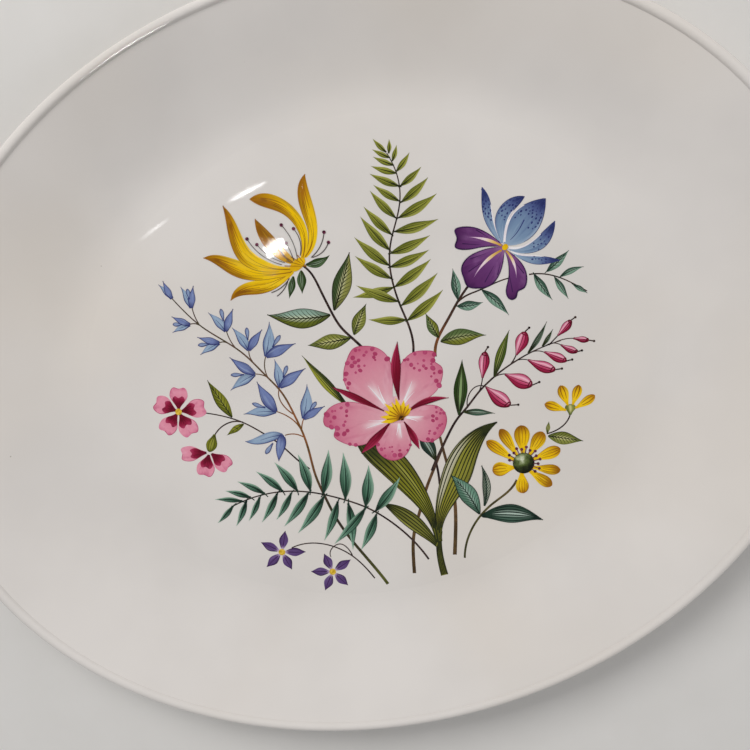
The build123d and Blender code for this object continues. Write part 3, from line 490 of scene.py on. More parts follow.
def painted_films(node, *materials, choose=lambda patch: 0, shape=Petal):
    """Stands finely divided films in for a CAD node's, and keeps u, v and a seed on every point for the paint.

    choose picks the material of each film from the ones given.
    """
    vertices, faces, paint_places, picks = [], [], [], []
    films = [shape(points, height, seed) for seed, (points, height) in enumerate(film_outlines(node))]
    for patch in films:
        places, across, along, tops = patch.grid()
        start, count, first_face = len(vertices), len(places), len(faces)
        for z in (patch.height, patch.height + film_thickness):
            for (x, y), u, v in zip(places, across, along):
                vertices.append((x, y, z))
                paint_places.append((u, v, patch.seed))
        edges = set()
        for top in tops:
            faces.append(tuple(start + i for i in reversed(top)))
            faces.append(tuple(start + count + i for i in top))
            edges.update(zip(top, top[1:] + top[:1]))
        for a, b in sorted(edges):
            if (b, a) not in edges:
                faces.append((start + a, start + b, start + count + b, start + count + a))
        picks += [choose(patch)] * (len(faces) - first_face)
    piece = add_piece(node + "_painted", vertices, faces, materials[0])
    for material in materials[1:]:
        piece.data.materials.append(material)
    piece.data.polygons.foreach_set("material_index", picks)
    attribute = piece.data.attributes.new("paint", "FLOAT_VECTOR", "POINT")
    attribute.data.foreach_set("vector", np.array(paint_places, dtype=np.float32).ravel())
    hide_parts(node)
    return films


class Ink:
    """Fine linework and dots, gathered into one mesh."""

    def __init__(self):
        self.vertices, self.faces = [], []

    def line(self, path, height, thick, thin):
        """A stroke with a ridge along its middle, thick at the first point and thin at the last."""
        path = np.asarray(path)
        last = len(path) - 1
        start = len(self.vertices)
        for i, point in enumerate(path):
            heading = path[min(i + 1, last)] - path[max(i - 1, 0)]
            heading = heading / max(np.hypot(*heading), 1e-9)
            half = (thick + (thin - thick) * i / last) / 2
            side = np.array((-heading[1], heading[0])) * half
            self.vertices.append((*(point + side), height))
            self.vertices.append((*(point - side), height))
            self.vertices.append((*point, height + ink_height))
        for i in range(last):
            left, right_side, ridge = (start + 3 * i + k for k in range(3))
            self.faces.append((right_side, right_side + 3, ridge + 3, ridge))
            self.faces.append((ridge, ridge + 3, left + 3, left))
            self.faces.append((left, left + 3, right_side + 3, right_side))
        end = start + 3 * last
        self.faces.append((start, start + 1, start + 2))
        self.faces.append((end, end + 2, end + 1))

    def dot(self, centre, height, radius, squash=1, angle=0, sides=10):
        """A low drop of colour, round or drawn out along an angle."""
        start = len(self.vertices)
        for k in range(sides):
            turn = 2 * math.pi * k / sides
            x, y = radius * math.cos(turn) * squash, radius * math.sin(turn)
            self.vertices.append((centre[0] + x * math.cos(angle) - y * math.sin(angle),
                centre[1] + x * math.sin(angle) + y * math.cos(angle), height))
        self.vertices.append((centre[0], centre[1], height + ink_height))
        self.faces.append(tuple(range(start + sides - 1, start - 1, -1)))
        for k in range(sides):
            self.faces.append((start + k, start + (k + 1) % sides, start + sides))

    def piece(self, name, material, node):
        """Ends the linework as one piece; the CAD node that it is given is not used."""
        add_piece(name, self.vertices, self.faces, material)


def stroke(ink, patch, start, end, thick, thin, bow=0, steps=10):
    """A line on a film between two u, v places, bowed across the film."""
    path = []
    for k in range(steps + 1):
        t = k / steps
        u = start[0] + (end[0] - start[0]) * t + bow * math.sin(math.pi * t)
        path.append(patch.at(u, start[1] + (end[1] - start[1]) * t))
    ink.line(path, patch.height + film_thickness, thick * MM, thin * MM)


def strokes(ink, patch, places, *settings):
    """Strokes along a film at several u, each from one v to another."""
    for u, low, high in places:
        stroke(ink, patch, (u, low), (u, high), *settings)


def edge_line(ink, patch, left, thick, thin=None, low=0, high=1):
    """A line just inside one side of a film."""
    thin = thick if thin is None else thin
    side = patch.left if left else patch.right
    path = side[int(low * patch.steps):int(high * patch.steps) + 1]
    heading = np.gradient(path, axis=0)
    heading /= np.maximum(np.hypot(*heading.T), 1e-9)[:, None]
    inward = np.stack((heading[:, 1], -heading[:, 0]), 1) * (1 if left else -1)
    ink.line(path + inward * edge_inset * MM, patch.height + film_thickness, thick * MM, thin * MM)


def left_edge(ink, patch, *settings):
    edge_line(ink, patch, True, *settings)


def right_edge(ink, patch, *settings):
    edge_line(ink, patch, False, *settings)


def both_edges(ink, patch, left, right):
    left_edge(ink, patch, left)
    right_edge(ink, patch, right)


def petiole(ink, patch, length, thick=0.4, lean=0):
    """The short stalk between a leaf and its stem, on the level of the leaf."""
    claw = (patch.left[0] + patch.right[0]) / 2
    heading = (patch.left[6] + patch.right[6]) / 2 - claw
    heading /= np.hypot(*heading)
    across = np.array((-heading[1], heading[0]))
    path = []
    for t in np.linspace(0, 1, 5):
        back = petiole_root - t * (length + petiole_root)
        path.append(claw + (heading * back + across * lean * t * t) * MM)
    ink.line(path, patch.height + film_thickness, thick * MM, 0.7 * thick * MM)


def rib(ink, patch, thick, reach):
    """The main vein of a leaf."""
    stroke(ink, patch, (0.5, 0), (0.5, reach), thick, 0.12)


def side_veins(ink, patch, pairs, thick, reach=0.42, rise=0.15):
    """Veins that leave the main one in pairs and curve towards the tip."""
    for k in range(pairs):
        v = 0.1 + 0.72 * k / pairs
        for side in (-1, 1):
            start, end = (0.5, v + 0.02 * side), (0.5 + side * reach, v + rise)
            stroke(ink, patch, start, end, thick, 0.1, -0.05 * side, 6)


# ---- enamel paint

enamel_specular = 0.22        # keeps the pale room's reflection from greying the darks
enamel_lift = 1.16            # the recipes are colours as they look in the soft studio light
enamel_sheen = (0.03, 0.08)   # least and most roughness
enamel_grain = 900            # scale of the noise that mottles and pits the print
enamel_mottle = 0.1           # how far the print's tone wanders


class Enamel(Paint):
    """Paint for a film, laid out by the u, v and seed that its points carry."""

    def __init__(self, name):
        super().__init__("paint_" + name, 0.12, enamel_specular, enamel_lift)
        place = self.node("ShaderNodeAttribute", attribute_name="paint")
        parts = self.node("ShaderNodeSeparateXYZ")
        self.link(place.outputs["Vector"], parts.inputs[0])
        self.u, self.v, self.seed = parts.outputs
        self.current = None

    def brush(self, across, along, shift):
        """Noise drawn out along the film, as a loaded brush leaves it."""
        joined = self.node("ShaderNodeCombineXYZ")
        self.link(self.math("MULTIPLY", self.u, across), joined.inputs[0])
        self.link(self.math("MULTIPLY", self.v, along), joined.inputs[1])
        self.link(self.math("MULTIPLY_ADD", self.seed, 7.31, shift), joined.inputs[2])
        return self.noise(joined.outputs[0], 1, 3, 0.6)

    def along(self, stops):
        """Lays the ground colours from claw to tip, with a soft uneven boundary."""
        wander = self.math("MULTIPLY_ADD", self.brush(5, 2, 3), 0.16, -0.08)
        self.current = self.ramp(self.math("ADD", self.v, wander), stops)

    def across(self, stops):
        """Lays the ground colours from the left side to the right side."""
        wander = self.math("MULTIPLY_ADD", self.brush(2, 3, 5), 0.1, -0.05)
        self.current = self.ramp(self.math("ADD", self.u, wander), stops)

    def wash(self, share, colour):
        """Covers what is there with a colour by a share from 0 to 1."""
        self.current = self.mix(share, self.current, colour)

    def window(self, low, high, soft, source=None):
        """1 between two places along the film and 0 outside them."""
        source = self.v if source is None else source
        rise = self.span(source, low - soft, low + soft)
        fall = self.span(source, high - soft, high + soft, 1, 0)
        return self.math("MULTIPLY", rise, fall)

    def side(self, colour, reach, strength, right=False, low=-1, high=2):
        """Shades one side of the film."""
        edge = self.span(self.u, 1 - reach, 1) if right else self.span(self.u, 0, reach, 1, 0)
        share = self.math("MULTIPLY", edge, self.window(low, high, 0.2))
        self.wash(self.math("MULTIPLY", share, strength), colour)

    def streaks(self, colour, count, strength, low=-1, high=2, shift=0, cover=0.5):
        """Long uneven brush strokes of a second colour."""
        mark = self.span(self.brush(count, 1.4, shift), 1 - cover, 1.18 - cover)
        share = self.math("MULTIPLY", mark, self.window(low, high, 0.15))
        self.wash(self.math("MULTIPLY", share, strength), colour)

    def finish(self):
        """Mottles the colour a little and ends the material."""
        grain = self.noise(self.place(), enamel_grain, 3)
        shade = self.math("MULTIPLY_ADD", grain, enamel_mottle, 1 - enamel_mottle / 2)
        tone = self.node("ShaderNodeVectorMath", operation="SCALE")
        self.link(self.current, tone.inputs[0])
        self.link(shade, tone.inputs["Scale"])
        self.colour(tone.outputs[0])
        return self.fired(grain)


def plain_enamel(name, first, second, scale=260):
    """Enamel for stems, dots and linework: two close colours that drift into each other."""
    paint = Paint(name, 0.14, enamel_specular, enamel_lift)
    drift = paint.noise(paint.place(), scale, 3)
    paint.colour(paint.mix(paint.span(drift, 0.38, 0.62), first, second))
    return paint.fired()


def leaf_enamel(name, left, right_half, pale, pale_share, base=None, tip=None):
    """A leaf in two tones that meet at its rib, with a pale band beside the rib."""
    paint = Enamel(name)
    paint.across([(0, darker(left, 0.8)), (0.22, left), (0.47, left), (0.53, right_half), (0.8, right_half),
        (1, darker(right_half, 0.8))])
    middle = paint.math("ABSOLUTE", paint.math("SUBTRACT", paint.u, 0.5))
    band = paint.math("MULTIPLY", paint.span(middle, 0.03, 0.24, pale_share, 0), paint.window(0.1, 0.8, 0.2))
    paint.wash(band, pale)
    if base:
        paint.wash(paint.span(paint.v, 0, 0.35, 0.75, 0), base)
    if tip:
        paint.wash(paint.span(paint.v, 0.62, 1, 0, 0.8), tip)
    paint.streaks(darker(left, 0.62), 9, 0.45, cover=0.42)
    return paint.finish()


dark_line = plain_enamel("line_dark_green", (28, 32, 14), (44, 50, 20))
teal_line = plain_enamel("line_dark_teal", (18, 36, 28), (30, 54, 42))


# ---- where the drawing lies

drawing_turn = math.radians(-17)     # the bouquet is drawn upright and then turned on the platter
tip_reach = 2.5 * MM                 # how near a film's tip has to be to the place that picks it out
heart_heights = {"yellow": 6.636 * MM, "bud": 6.736 * MM, "pink": 6.522 * MM}
heart_line_height = 6.643 * MM


def drawn(x, y):
    """The place on the platter of a point of the upright drawing, which is given in millimetres."""
    c, s = math.cos(drawing_turn), math.sin(drawing_turn)
    return np.array((x * c - y * s, x * s + y * c)) * MM


def tip_near(patch, *tips):
    """Whether a film ends at one of some points of the drawing."""
    return any(math.dist(patch.left[-1], drawn(x, y)) < tip_reach for x, y in tips)


def by_tip(*groups):
    """A rule that gives a film the number of the group that its tip is in, from 1, or 0 for none."""
    return lambda patch: next((k for k, group in enumerate(groups, 1) if tip_near(patch, *group)), 0)


def stem_enamel(name, stops):
    """Enamel for a stem, with colours from (height in the drawing, colour) stops and darker drifts."""
    paint = Paint(name, 0.14, enamel_specular, enamel_lift)
    place = paint.place()
    height = paint.node("ShaderNodeVectorMath", operation="DOT_PRODUCT")
    paint.link(place, height.inputs[0])
    height.inputs[1].default_value = (-math.sin(drawing_turn), math.cos(drawing_turn), 0)
    low, high = stops[0][0] - 1, stops[-1][0] + 1
    share = paint.span(height.outputs["Value"], low * MM, high * MM, smooth=False)
    base = paint.ramp(share, [((y - low) / (high - low), colour) for y, colour in stops])
    drift = paint.noise(place, 330, 3)
    paint.colour(paint.mix(paint.span(drift, 0.4, 0.62, 0, 0.55), base, darker(stops[0][1], 0.6)))
    return paint.fired()


# ---- stems, dots and linework colours

dark_stem = plain_enamel("paint_dark_stem", (38, 26, 26), (64, 48, 42), 420)
olive_stem = stem_enamel("paint_olive_stem", [(-72, (58, 58, 30)), (-55, (84, 80, 44)), (-40, (104, 84, 52))])
bell_stem = stem_enamel("paint_bell_stem", [(-82, (92, 96, 40)), (-68, (56, 50, 34)), (-52, (46, 38, 32)),
    (-38, (108, 74, 48)), (-22, (148, 88, 46)), (-6, (104, 78, 60)), (14, (80, 62, 56)), (28, (60, 50, 54))])
cut_stem = stem_enamel("paint_cut_stem", [(-78, (74, 56, 34)), (-62, (92, 72, 44)), (-45, (104, 74, 48)),
    (-20, (84, 66, 46))])
iris_stem = stem_enamel("paint_iris_stem", [(2, (118, 76, 42)), (9, (138, 84, 46)), (15, (78, 54, 44)),
    (22, (44, 34, 32)), (34, (40, 30, 30))])
plum_dot = plain_enamel("paint_plum_dot", (58, 20, 36), (112, 50, 74), 900)
brown_line = plain_enamel("line_ochre_brown", (134, 84, 8), (160, 104, 14))
navy_line = plain_enamel("line_navy", (40, 46, 98), (54, 62, 114))
plum_line = plain_enamel("line_plum", (48, 20, 62), (62, 28, 78))
crimson_line = plain_enamel("line_crimson", (84, 4, 26), (112, 10, 40))
rose_line = plain_enamel("line_rose", (166, 58, 96), (182, 76, 114))
white_line = plain_enamel("line_white", (226, 218, 222), (236, 230, 232))
golden_eye = plain_enamel("paint_golden_eye", (188, 150, 30), (226, 190, 70), 900)
golden_heart = plain_enamel("paint_golden_heart", (212, 164, 10), (228, 184, 14), 420)

for node in ("yellow_flower_stem", "fern_stem", "phlox_stems", "vetch_stem", "violet_stems", "pink_bell_stems",
        "pink_bell_styles", "small_yellow_stem", "yellow_flower_stamens"):
    dress(node, dark_stem)
dress("bluebell_stems", bell_stem)
dress("cut_stems", cut_stem)
dress("iris_stems", iris_stem)
dress("daisy_stem", olive_stem)
for node in ("yellow_flower_anthers", "daisy_stamens"):
    dress(node, plum_dot)
for node in ("phlox_eye_dot", "violet_eyes"):
    dress(node, golden_eye)


# ---- yellow flowers

def yellow_enamel(name, shade, low, shaded_tip):
    """Golden petals that turn to ochre on their left side and towards their tip."""
    paint = Enamel(name)
    paint.along([(0, (216, 170, 8)), (0.25, (234, 192, 8)), (0.6, (230, 184, 4)), (0.85, (208, 152, 4)),
        (1, (164, 108, 4))])
    paint.side((136, 86, 4), 0.58, shade, low=low)
    paint.side((244, 208, 52), 0.2, 0.45, right=True, high=0.85)
    paint.streaks((136, 86, 4), 6, 0.65, low=low)
    paint.streaks((240, 200, 60), 6, 0.4, high=0.7, shift=9)
    paint.wash(paint.span(paint.v, 0.5, 1, 0, shaded_tip), (134, 82, 4))
    return paint.finish()


yellow_petal = yellow_enamel("yellow_petal", 0.85, 0.42, 0.6)
light_petal = yellow_enamel("light_petal", 0.3, 0.5, 0.25)
tipped_petal = yellow_enamel("tipped_petal", 0.6, 0.3, 1)
ochre = Enamel("ochre_petal")
ochre.along([(0, (214, 170, 14)), (0.35, (190, 140, 12)), (0.55, (148, 98, 6)), (1, (128, 82, 6))])
ochre.streaks((104, 62, 4), 5, 0.6, low=0.4)
ochre.streaks((200, 152, 24), 5, 0.5, shift=4)
ochre_petal = ochre.finish()

ink = Ink()
for patch in painted_films("yellow_flower_petals", yellow_petal, ochre_petal, choose=by_tip([(-40.3, 49.2)])):
    for u, low, high in ((0.14, 0.3, 0.97), (0.3, 0.42, 0.93), (0.46, 0.52, 0.9), (0.68, 0.6, 0.88)):
        stroke(ink, patch, (u, low), (0.3 + 0.4 * u, high), 0.1, 0.5, 0.02, 14)
    for u, high in ((0.35, 0.42), (0.6, 0.5)):
        stroke(ink, patch, (0.5, 0), (u, high), 0.3, 0.06, 0.03, 14)
    left_edge(ink, patch, 0.14, 0.34, 0.1)
for x, y in ((-30.6, 33.5), (-30.2, 35.2), (-28.4, 36.6), (-26.2, 37.2)):
    ink.line(even_points(np.array([drawn(-23.2, 33.4), drawn(x, y)]), 4), heart_line_height, 0.12 * MM, 0.34 * MM)
ink.piece("yellow_petal_lines", brown_line, "yellow_flower_petals")
heart = Ink()
heart.dot(drawn(-26.2, 34), heart_heights["yellow"], 1.75 * MM, 1.8, math.radians(24), 28)
heart.dot(drawn(43.7, 40.2), heart_heights["bud"], 0.95 * MM, 1.2, 0.6, 20)
heart.piece("flower_hearts", golden_heart, "yellow_flower_petals")

ink = Ink()
for patch in painted_films("daisy_petals", light_petal, tipped_petal,
        choose=by_tip([(59, -24.1), (65.6, -38), (44, -23.1), (51.3, -21.7), (62.8, -43.7)])):
    strokes(ink, patch, ((0.28, 0.3, 0.9), (0.5, 0.35, 0.95), (0.72, 0.3, 0.9)), 0.12, 0.34, 0.02)
    left_edge(ink, patch, 0.1, 0.3, 0.2)
for patch in painted_films("small_yellow_petals", light_petal):
    for u in (0.3, 0.66):
        stroke(ink, patch, (u, 0.3), (u, 0.9), 0.14, 0.5, 0.02)
    left_edge(ink, patch, 0.1, 0.3, 0.2)
ink.piece("daisy_petal_lines", brown_line, "daisy_petals")


# ---- leaves

def veined(ink, patch, pairs, rib_width, vein_width):
    rib(ink, patch, rib_width, 0.95)
    side_veins(ink, patch, pairs, vein_width)


green = (70, 86, 34)
tall_leaf = leaf_enamel("tall_leaf", (58, 78, 42), (136, 136, 70), (200, 198, 150), 0.8, base=(48, 60, 26))
split_leaf = leaf_enamel("split_leaf", (96, 104, 30), (140, 168, 152), (206, 212, 180), 0.65, base=(54, 66, 30),
    tip=(72, 82, 32))
olive_leaf = leaf_enamel("olive_leaf", (112, 118, 48), (132, 136, 62), (206, 202, 140), 0.8, base=green,
    tip=green)
calyx_leaf = leaf_enamel("calyx_leaf", (42, 64, 26), (74, 98, 62), (150, 172, 144), 0.6, tip=(36, 54, 26))

ink = Ink()
for patch in painted_films("yellow_flower_leaves", tall_leaf, split_leaf, olive_leaf, calyx_leaf,
        choose=by_tip([(-36.8, 16.8)], [(-3, 20.8), (-23, 6.2)], [(-24.7, 24), (-15.3, 37.3), (-29.2, 22.4)])):
    if patch.length > 18 * MM:
        veined(ink, patch, 10, 0.56, 0.36)
        both_edges(ink, patch, 0.3, 0.2)
    elif patch.length > 10 * MM:
        veined(ink, patch, 8, 0.5, 0.32)
        left_edge(ink, patch, 0.2)
    else:
        stroke(ink, patch, (0.42, 0), (0.45, 0.9), 0.45, 0.1, 0.06)
        stroke(ink, patch, (0.7, 0.2), (0.55, 0.85), 0.3, 0.08, 0.06)
phlox_leaf = leaf_enamel("phlox_leaf", (104, 108, 22), (126, 128, 34), (172, 172, 80), 0.5, base=(70, 76, 16),
    tip=(78, 88, 22))
for patch in painted_films("phlox_leaves", phlox_leaf):
    if patch.length > 10 * MM:
        veined(ink, patch, 7, 0.44, 0.26)
        left_edge(ink, patch, 0.24)
    elif not tip_near(patch, (-57.9, -32.1)):
        veined(ink, patch, 3, 0.34, 0.2)
    else:
        for u in (0.22, 0.5, 0.75):
            stroke(ink, patch, (u, 0.06), (u, 0.94), 0.22, 0.12, 0.03)
iris_leaf = leaf_enamel("iris_leaf", (88, 108, 62), (116, 120, 40), (190, 194, 140), 0.5, base=(64, 74, 30))
for patch in painted_films("iris_green_leaves", iris_leaf):
    veined(ink, patch, 8 if patch.length > 12 * MM else 6, 0.46, 0.3)
    right_edge(ink, patch, 0.2)
for patch in painted_films("small_yellow_leaves", olive_leaf):
    if patch.length > 10 * MM:
        veined(ink, patch, 8, 0.4, 0.3)
        left_edge(ink, patch, 0.2)
    elif patch.width < 2 * MM:
        rib(ink, patch, 0.3, 0.9)
ink.piece("leaf_veins", dark_line, "yellow_flower_stem")

fern = Enamel("fern")
fern.along([(0, (76, 82, 24)), (0.25, (122, 126, 42)), (0.75, (148, 150, 58)), (1, (124, 126, 42))])
fern.side((74, 82, 26), 0.45, 0.7)
fern.side((172, 172, 96), 0.4, 0.45, right=True, low=0.1, high=0.8)
fern.streaks((58, 64, 18), 8, 0.55)
ink = Ink()
for patch in painted_films("fern_fronds", fern.finish()):
    stroke(ink, patch, (0.5, 0), (0.52, 0.8), 0.56, 0.08, 0.03, 12)
    if patch.length > 9 * MM:
        stroke(ink, patch, (0.3, 0.2), (0.4, 0.85), 0.2, 0.08, -0.05, 8)
        stroke(ink, patch, (0.72, 0.15), (0.6, 0.7), 0.2, 0.08, 0.05, 8)
        petiole(ink, patch, 0.8, 0.5)
ink.piece("fern_midribs", dark_line, "fern_stem")

vetch = Enamel("vetch")
vetch.along([(0, (46, 78, 60)), (0.3, (68, 108, 86)), (0.65, (100, 140, 118)), (1, (138, 174, 152))])
vetch.side((36, 64, 50), 0.4, 0.7, high=0.8)
vetch.side((156, 184, 164), 0.35, 0.5, right=True, low=0.15, high=0.85)
vetch.streaks((36, 62, 48), 8, 0.55, high=0.85)
ink = Ink()
for patch in painted_films("vetch_leaflets", vetch.finish()):
    stroke(ink, patch, (0.5, 0), (0.5, 0.84), 0.84, 0.16, 0.04, 12)
    stroke(ink, patch, (0.28, 0.08), (0.36, 0.66), 0.26, 0.08, -0.04, 8)
    stroke(ink, patch, (0.72, 0.08), (0.64, 0.66), 0.26, 0.08, 0.04, 8)
    left_edge(ink, patch, 0.26, 0.12, 0, 0.9)
    petiole(ink, patch, 1.6, 0.46, 0.5)
teal_leaf = leaf_enamel("teal_leaf", (58, 88, 72), (116, 150, 130), (186, 206, 190), 0.5, base=(36, 60, 48))
for patch in painted_films("iris_teal_leaves", teal_leaf):
    stroke(ink, patch, (0.5, 0), (0.5, 0.9), 0.5, 0.1, 0.02, 12)
    left_edge(ink, patch, 0.2, 0.12)
    petiole(ink, patch, 0.9)
    if patch.width > 2.6 * MM:
        side_veins(ink, patch, 5, 0.24, 0.34, 0.18)
daisy_leaf = leaf_enamel("daisy_leaf", (84, 120, 100), (108, 146, 126), (184, 204, 190), 0.55, base=(32, 58, 44))
grey_leaf = leaf_enamel("grey_leaf", (104, 114, 98), (140, 148, 132), (194, 198, 182), 0.4, base=(60, 68, 56))
long_leaf = leaf_enamel("long_leaf", (56, 80, 66), (72, 98, 84), (176, 194, 182), 0.9, base=(20, 38, 28),
    tip=(24, 38, 30))
for patch in painted_films("daisy_leaves", daisy_leaf, grey_leaf, long_leaf,
        choose=by_tip([(37.8, -36.4)], [(60.2, -56.4)])):
    if patch.length > 20 * MM:
        for u in (0.12, 0.27, 0.42, 0.58, 0.73, 0.88):
            stroke(ink, patch, (u, 0.02), (u, 0.97), 0.6, 0.3, 0, 22)
    else:
        veined(ink, patch, 10, 0.48, 0.34)
    both_edges(ink, patch, 0.3, 0.24)
ink.piece("teal_leaf_veins", teal_line, "yellow_flower_stem")

broad_bell_leaf = leaf_enamel("broad_bell_leaf", (38, 62, 18), (44, 70, 24), (146, 172, 116), 0.75,
    base=(24, 42, 14), tip=(30, 50, 18))
olive_bell_leaf = leaf_enamel("olive_bell_leaf", (96, 110, 36), (66, 84, 24), (176, 182, 110), 0.5,
    base=(34, 48, 16))
slim_bell_leaf = leaf_enamel("slim_bell_leaf", (64, 86, 70), (92, 114, 94), (172, 188, 168), 0.5,
    base=(34, 50, 40))
mint_bell_leaf = leaf_enamel("mint_bell_leaf", (54, 84, 66), (62, 92, 74), (186, 206, 188), 0.85,
    base=(36, 62, 48), tip=(48, 76, 60))
ink = Ink()
for patch in painted_films("pink_bell_leaves", olive_bell_leaf, broad_bell_leaf, slim_bell_leaf, mint_bell_leaf,
        choose=by_tip([(30.1, 1.6)], [(58.7, 15), (60.9, 12.4)], [(42, -17.4)])):
    if tip_near(patch, (30.1, 1.6)):
        for u in (0.18, 0.34, 0.66, 0.82):
            stroke(ink, patch, (u, 0.08), (0.5 + 0.6 * (u - 0.5), 0.92), 0.44, 0.12, 0, 16)
    else:
        stroke(ink, patch, (0.5, 0), (0.5, 0.92), 0.46, 0.1, 0.02, 12)
        stroke(ink, patch, (0.24, 0.06), (0.34, 0.8), 0.34, 0.1, 0, 12)
        stroke(ink, patch, (0.76, 0.06), (0.66, 0.8), 0.34, 0.1, 0, 12)
    left_edge(ink, patch, 0.2, 0.16)
slim_flower_leaf = leaf_enamel("slim_flower_leaf", (150, 152, 50), (54, 66, 22), (184, 186, 96), 0.3,
    base=(30, 46, 26), tip=(110, 118, 44))
dark_flower_leaf = leaf_enamel("dark_flower_leaf", (30, 50, 42), (38, 60, 50), (170, 188, 178), 0.75,
    base=(20, 32, 26), tip=(28, 44, 38))
for patch in painted_films("pink_flower_leaves", slim_flower_leaf, dark_flower_leaf,
        choose=by_tip([(15, -24.6)])):
    for u in (0.25, 0.5, 0.75):
        stroke(ink, patch, (u, 0), (0.5 + 0.5 * (u - 0.5), 0.9), 0.44, 0.1, 0.04, 14)
    right_edge(ink, patch, 0.3, 0.16)


def strap_enamel(name, stops):
    """A long leaf with parallel light and dark streaks from end to end."""
    paint = Enamel(name)
    paint.along(stops)
    paint.side((74, 74, 22), 0.14, 0.7)
    paint.side((60, 60, 20), 0.2, 0.7, right=True, high=0.9)
    paint.streaks((172, 172, 84), 9, 0.5, low=0.1, high=0.8)
    paint.streaks((62, 64, 18), 12, 0.6, shift=6)
    return paint


strap = strap_enamel("strap_leaf", [(0, (112, 112, 34)), (0.35, (126, 126, 30)), (0.6, (112, 110, 30)),
    (0.78, (58, 64, 24)), (1, (36, 42, 18))])
low_strap = strap_enamel("low_strap", [(0, (104, 104, 36)), (0.5, (112, 112, 44)), (1, (62, 66, 26))])
pale_strap = strap_enamel("pale_strap", [(0, (112, 110, 32)), (0.3, (134, 130, 42)), (0.7, (136, 134, 48)),
    (0.86, (92, 90, 34)), (1, (58, 56, 26))])
pale_strap.wash(pale_strap.math("MULTIPLY", pale_strap.window(0.06, 0.3, 0.08, pale_strap.u),
    pale_strap.window(0.28, 0.74, 0.1)), (188, 184, 160))
for patch in painted_films("strap_leaves", strap.finish(), pale_strap.finish(), low_strap.finish(),
        choose=by_tip([(42.8, -20.6)], [(3.2, -50.7), (24.5, -61)])):
    if patch.length > 40 * MM:
        strokes(ink, patch, ((0.08, 0.1, 0.9), (0.2, 0, 1), (0.34, 0.08, 0.96), (0.47, 0, 1), (0.6, 0.06, 0.97),
            (0.72, 0, 1), (0.84, 0.1, 0.95)), 0.3, 0.5, 0, 40)
        right_edge(ink, patch, 0.3, 0.5)
        left_edge(ink, patch, 0.2, 0.3)
    else:
        for u in (0.2, 0.4, 0.6, 0.8):
            stroke(ink, patch, (u, 0.02), (u, 0.96), 0.36, 0.4, 0, 24)
        both_edges(ink, patch, 0.3, 0.3)
ink.piece("strap_stripes", dark_line, "yellow_flower_stem")


# ---- iris

blue = Enamel("iris_blue")
blue.along([(0, (142, 162, 184)), (0.3, (118, 142, 170)), (0.55, (106, 128, 160)), (0.72, (76, 90, 136)),
    (0.84, (42, 50, 100)), (1, (32, 38, 86))])
blue.side((78, 92, 134), 0.28, 0.45)
blue.side((176, 192, 208), 0.16, 0.5, right=True, high=0.7)
blue.streaks((78, 98, 138), 8, 0.5, low=0.2)
blue.streaks((166, 186, 204), 6, 0.45, high=0.6, shift=4)
rng = random.Random(5)
navy, pale = Ink(), Ink()
for patch in painted_films("iris_blue_petals", blue.finish()):
    broad = patch.width > 8 * MM
    placed = []
    for _ in range(240 if broad else 80):
        v = 0.42 + 0.56 * rng.random() ** 0.75
        u = rng.uniform(0.1, 0.9)
        spot = patch.at(u, v)
        if broad and v < 0.6 and 0.25 < u < 0.62 or any(math.dist(spot, other) < 0.95 * MM for other in placed):
            continue
        placed.append(spot)
        ahead = patch.at(u, min(v + 0.03, 1)) - patch.at(u, v - 0.03)
        navy.dot(spot, patch.height + film_thickness, rng.uniform(0.2, 0.32) * MM,
            rng.uniform(1.1, 1.6 + 1.2 * (v - 0.4)), math.atan2(ahead[1], ahead[0]) + rng.uniform(-0.3, 0.3))
    left_edge(navy, patch, 0.12, 0.3, 0.25)
    right_edge(navy, patch, 0.12, 0.3, 0.25)
    if broad:
        stroke(navy, patch, (0.5, 0.12), (0.42, 0.5), 0.16, 0.4, 0.04, 10)
    edge_line(pale, patch, broad or tip_near(patch, (60.1, 49), (62.4, 35.9)), 0.8, 0.1, 0.02, 0.8)
navy.piece("iris_speckles", navy_line, "iris_blue_petals")

purple = Enamel("iris_purple")
purple.along([(0, (150, 108, 150)), (0.2, (118, 70, 126)), (0.5, (100, 52, 108)), (0.85, (88, 40, 94)),
    (1, (62, 22, 70))])
purple.side((58, 22, 68), 0.16, 0.7, low=0.1)
purple.side((62, 24, 70), 0.16, 0.7, right=True, low=0.1)
purple.streaks((64, 26, 74), 5, 0.55)
purple.streaks((138, 92, 144), 4, 0.5, high=0.8, shift=3)
ink = Ink()
for patch in painted_films("iris_purple_petals", purple.finish(), shape=Fan):
    for u in (0.2, 0.36, 0.64, 0.8):
        stroke(ink, patch, (u, 0.45), (u, 0.86), 0.08, 0.4, 0, 12)
    for left in (True, False):
        edge_line(ink, patch, left, 0.2, 0.6, 0.1)
ink.piece("iris_purple_lines", plum_line, "iris_purple_petals")
flash = Enamel("iris_flash")
flash.along([(0, (190, 140, 40)), (0.25, (222, 186, 110)), (0.5, (232, 214, 214)), (0.8, (208, 170, 202)),
    (1, (150, 104, 156))])
flash.streaks((160, 100, 40), 4, 0.4, high=0.5)
painted_films("iris_flashes", flash.finish())


# ---- bluebells

def bell_enamel(name, middle, edge, base):
    paint = Enamel(name)
    paint.along([(0, base), (0.3, middle), (0.75, middle), (1, edge)])
    paint.side(edge, 0.34, 0.85)
    paint.side(edge, 0.2, 0.6, right=True)
    paint.streaks(darker(middle, 0.75), 6, 0.5)
    paint.streaks((168, 186, 204), 5, 0.4, low=0.1, high=0.8, shift=5)
    return paint.finish()


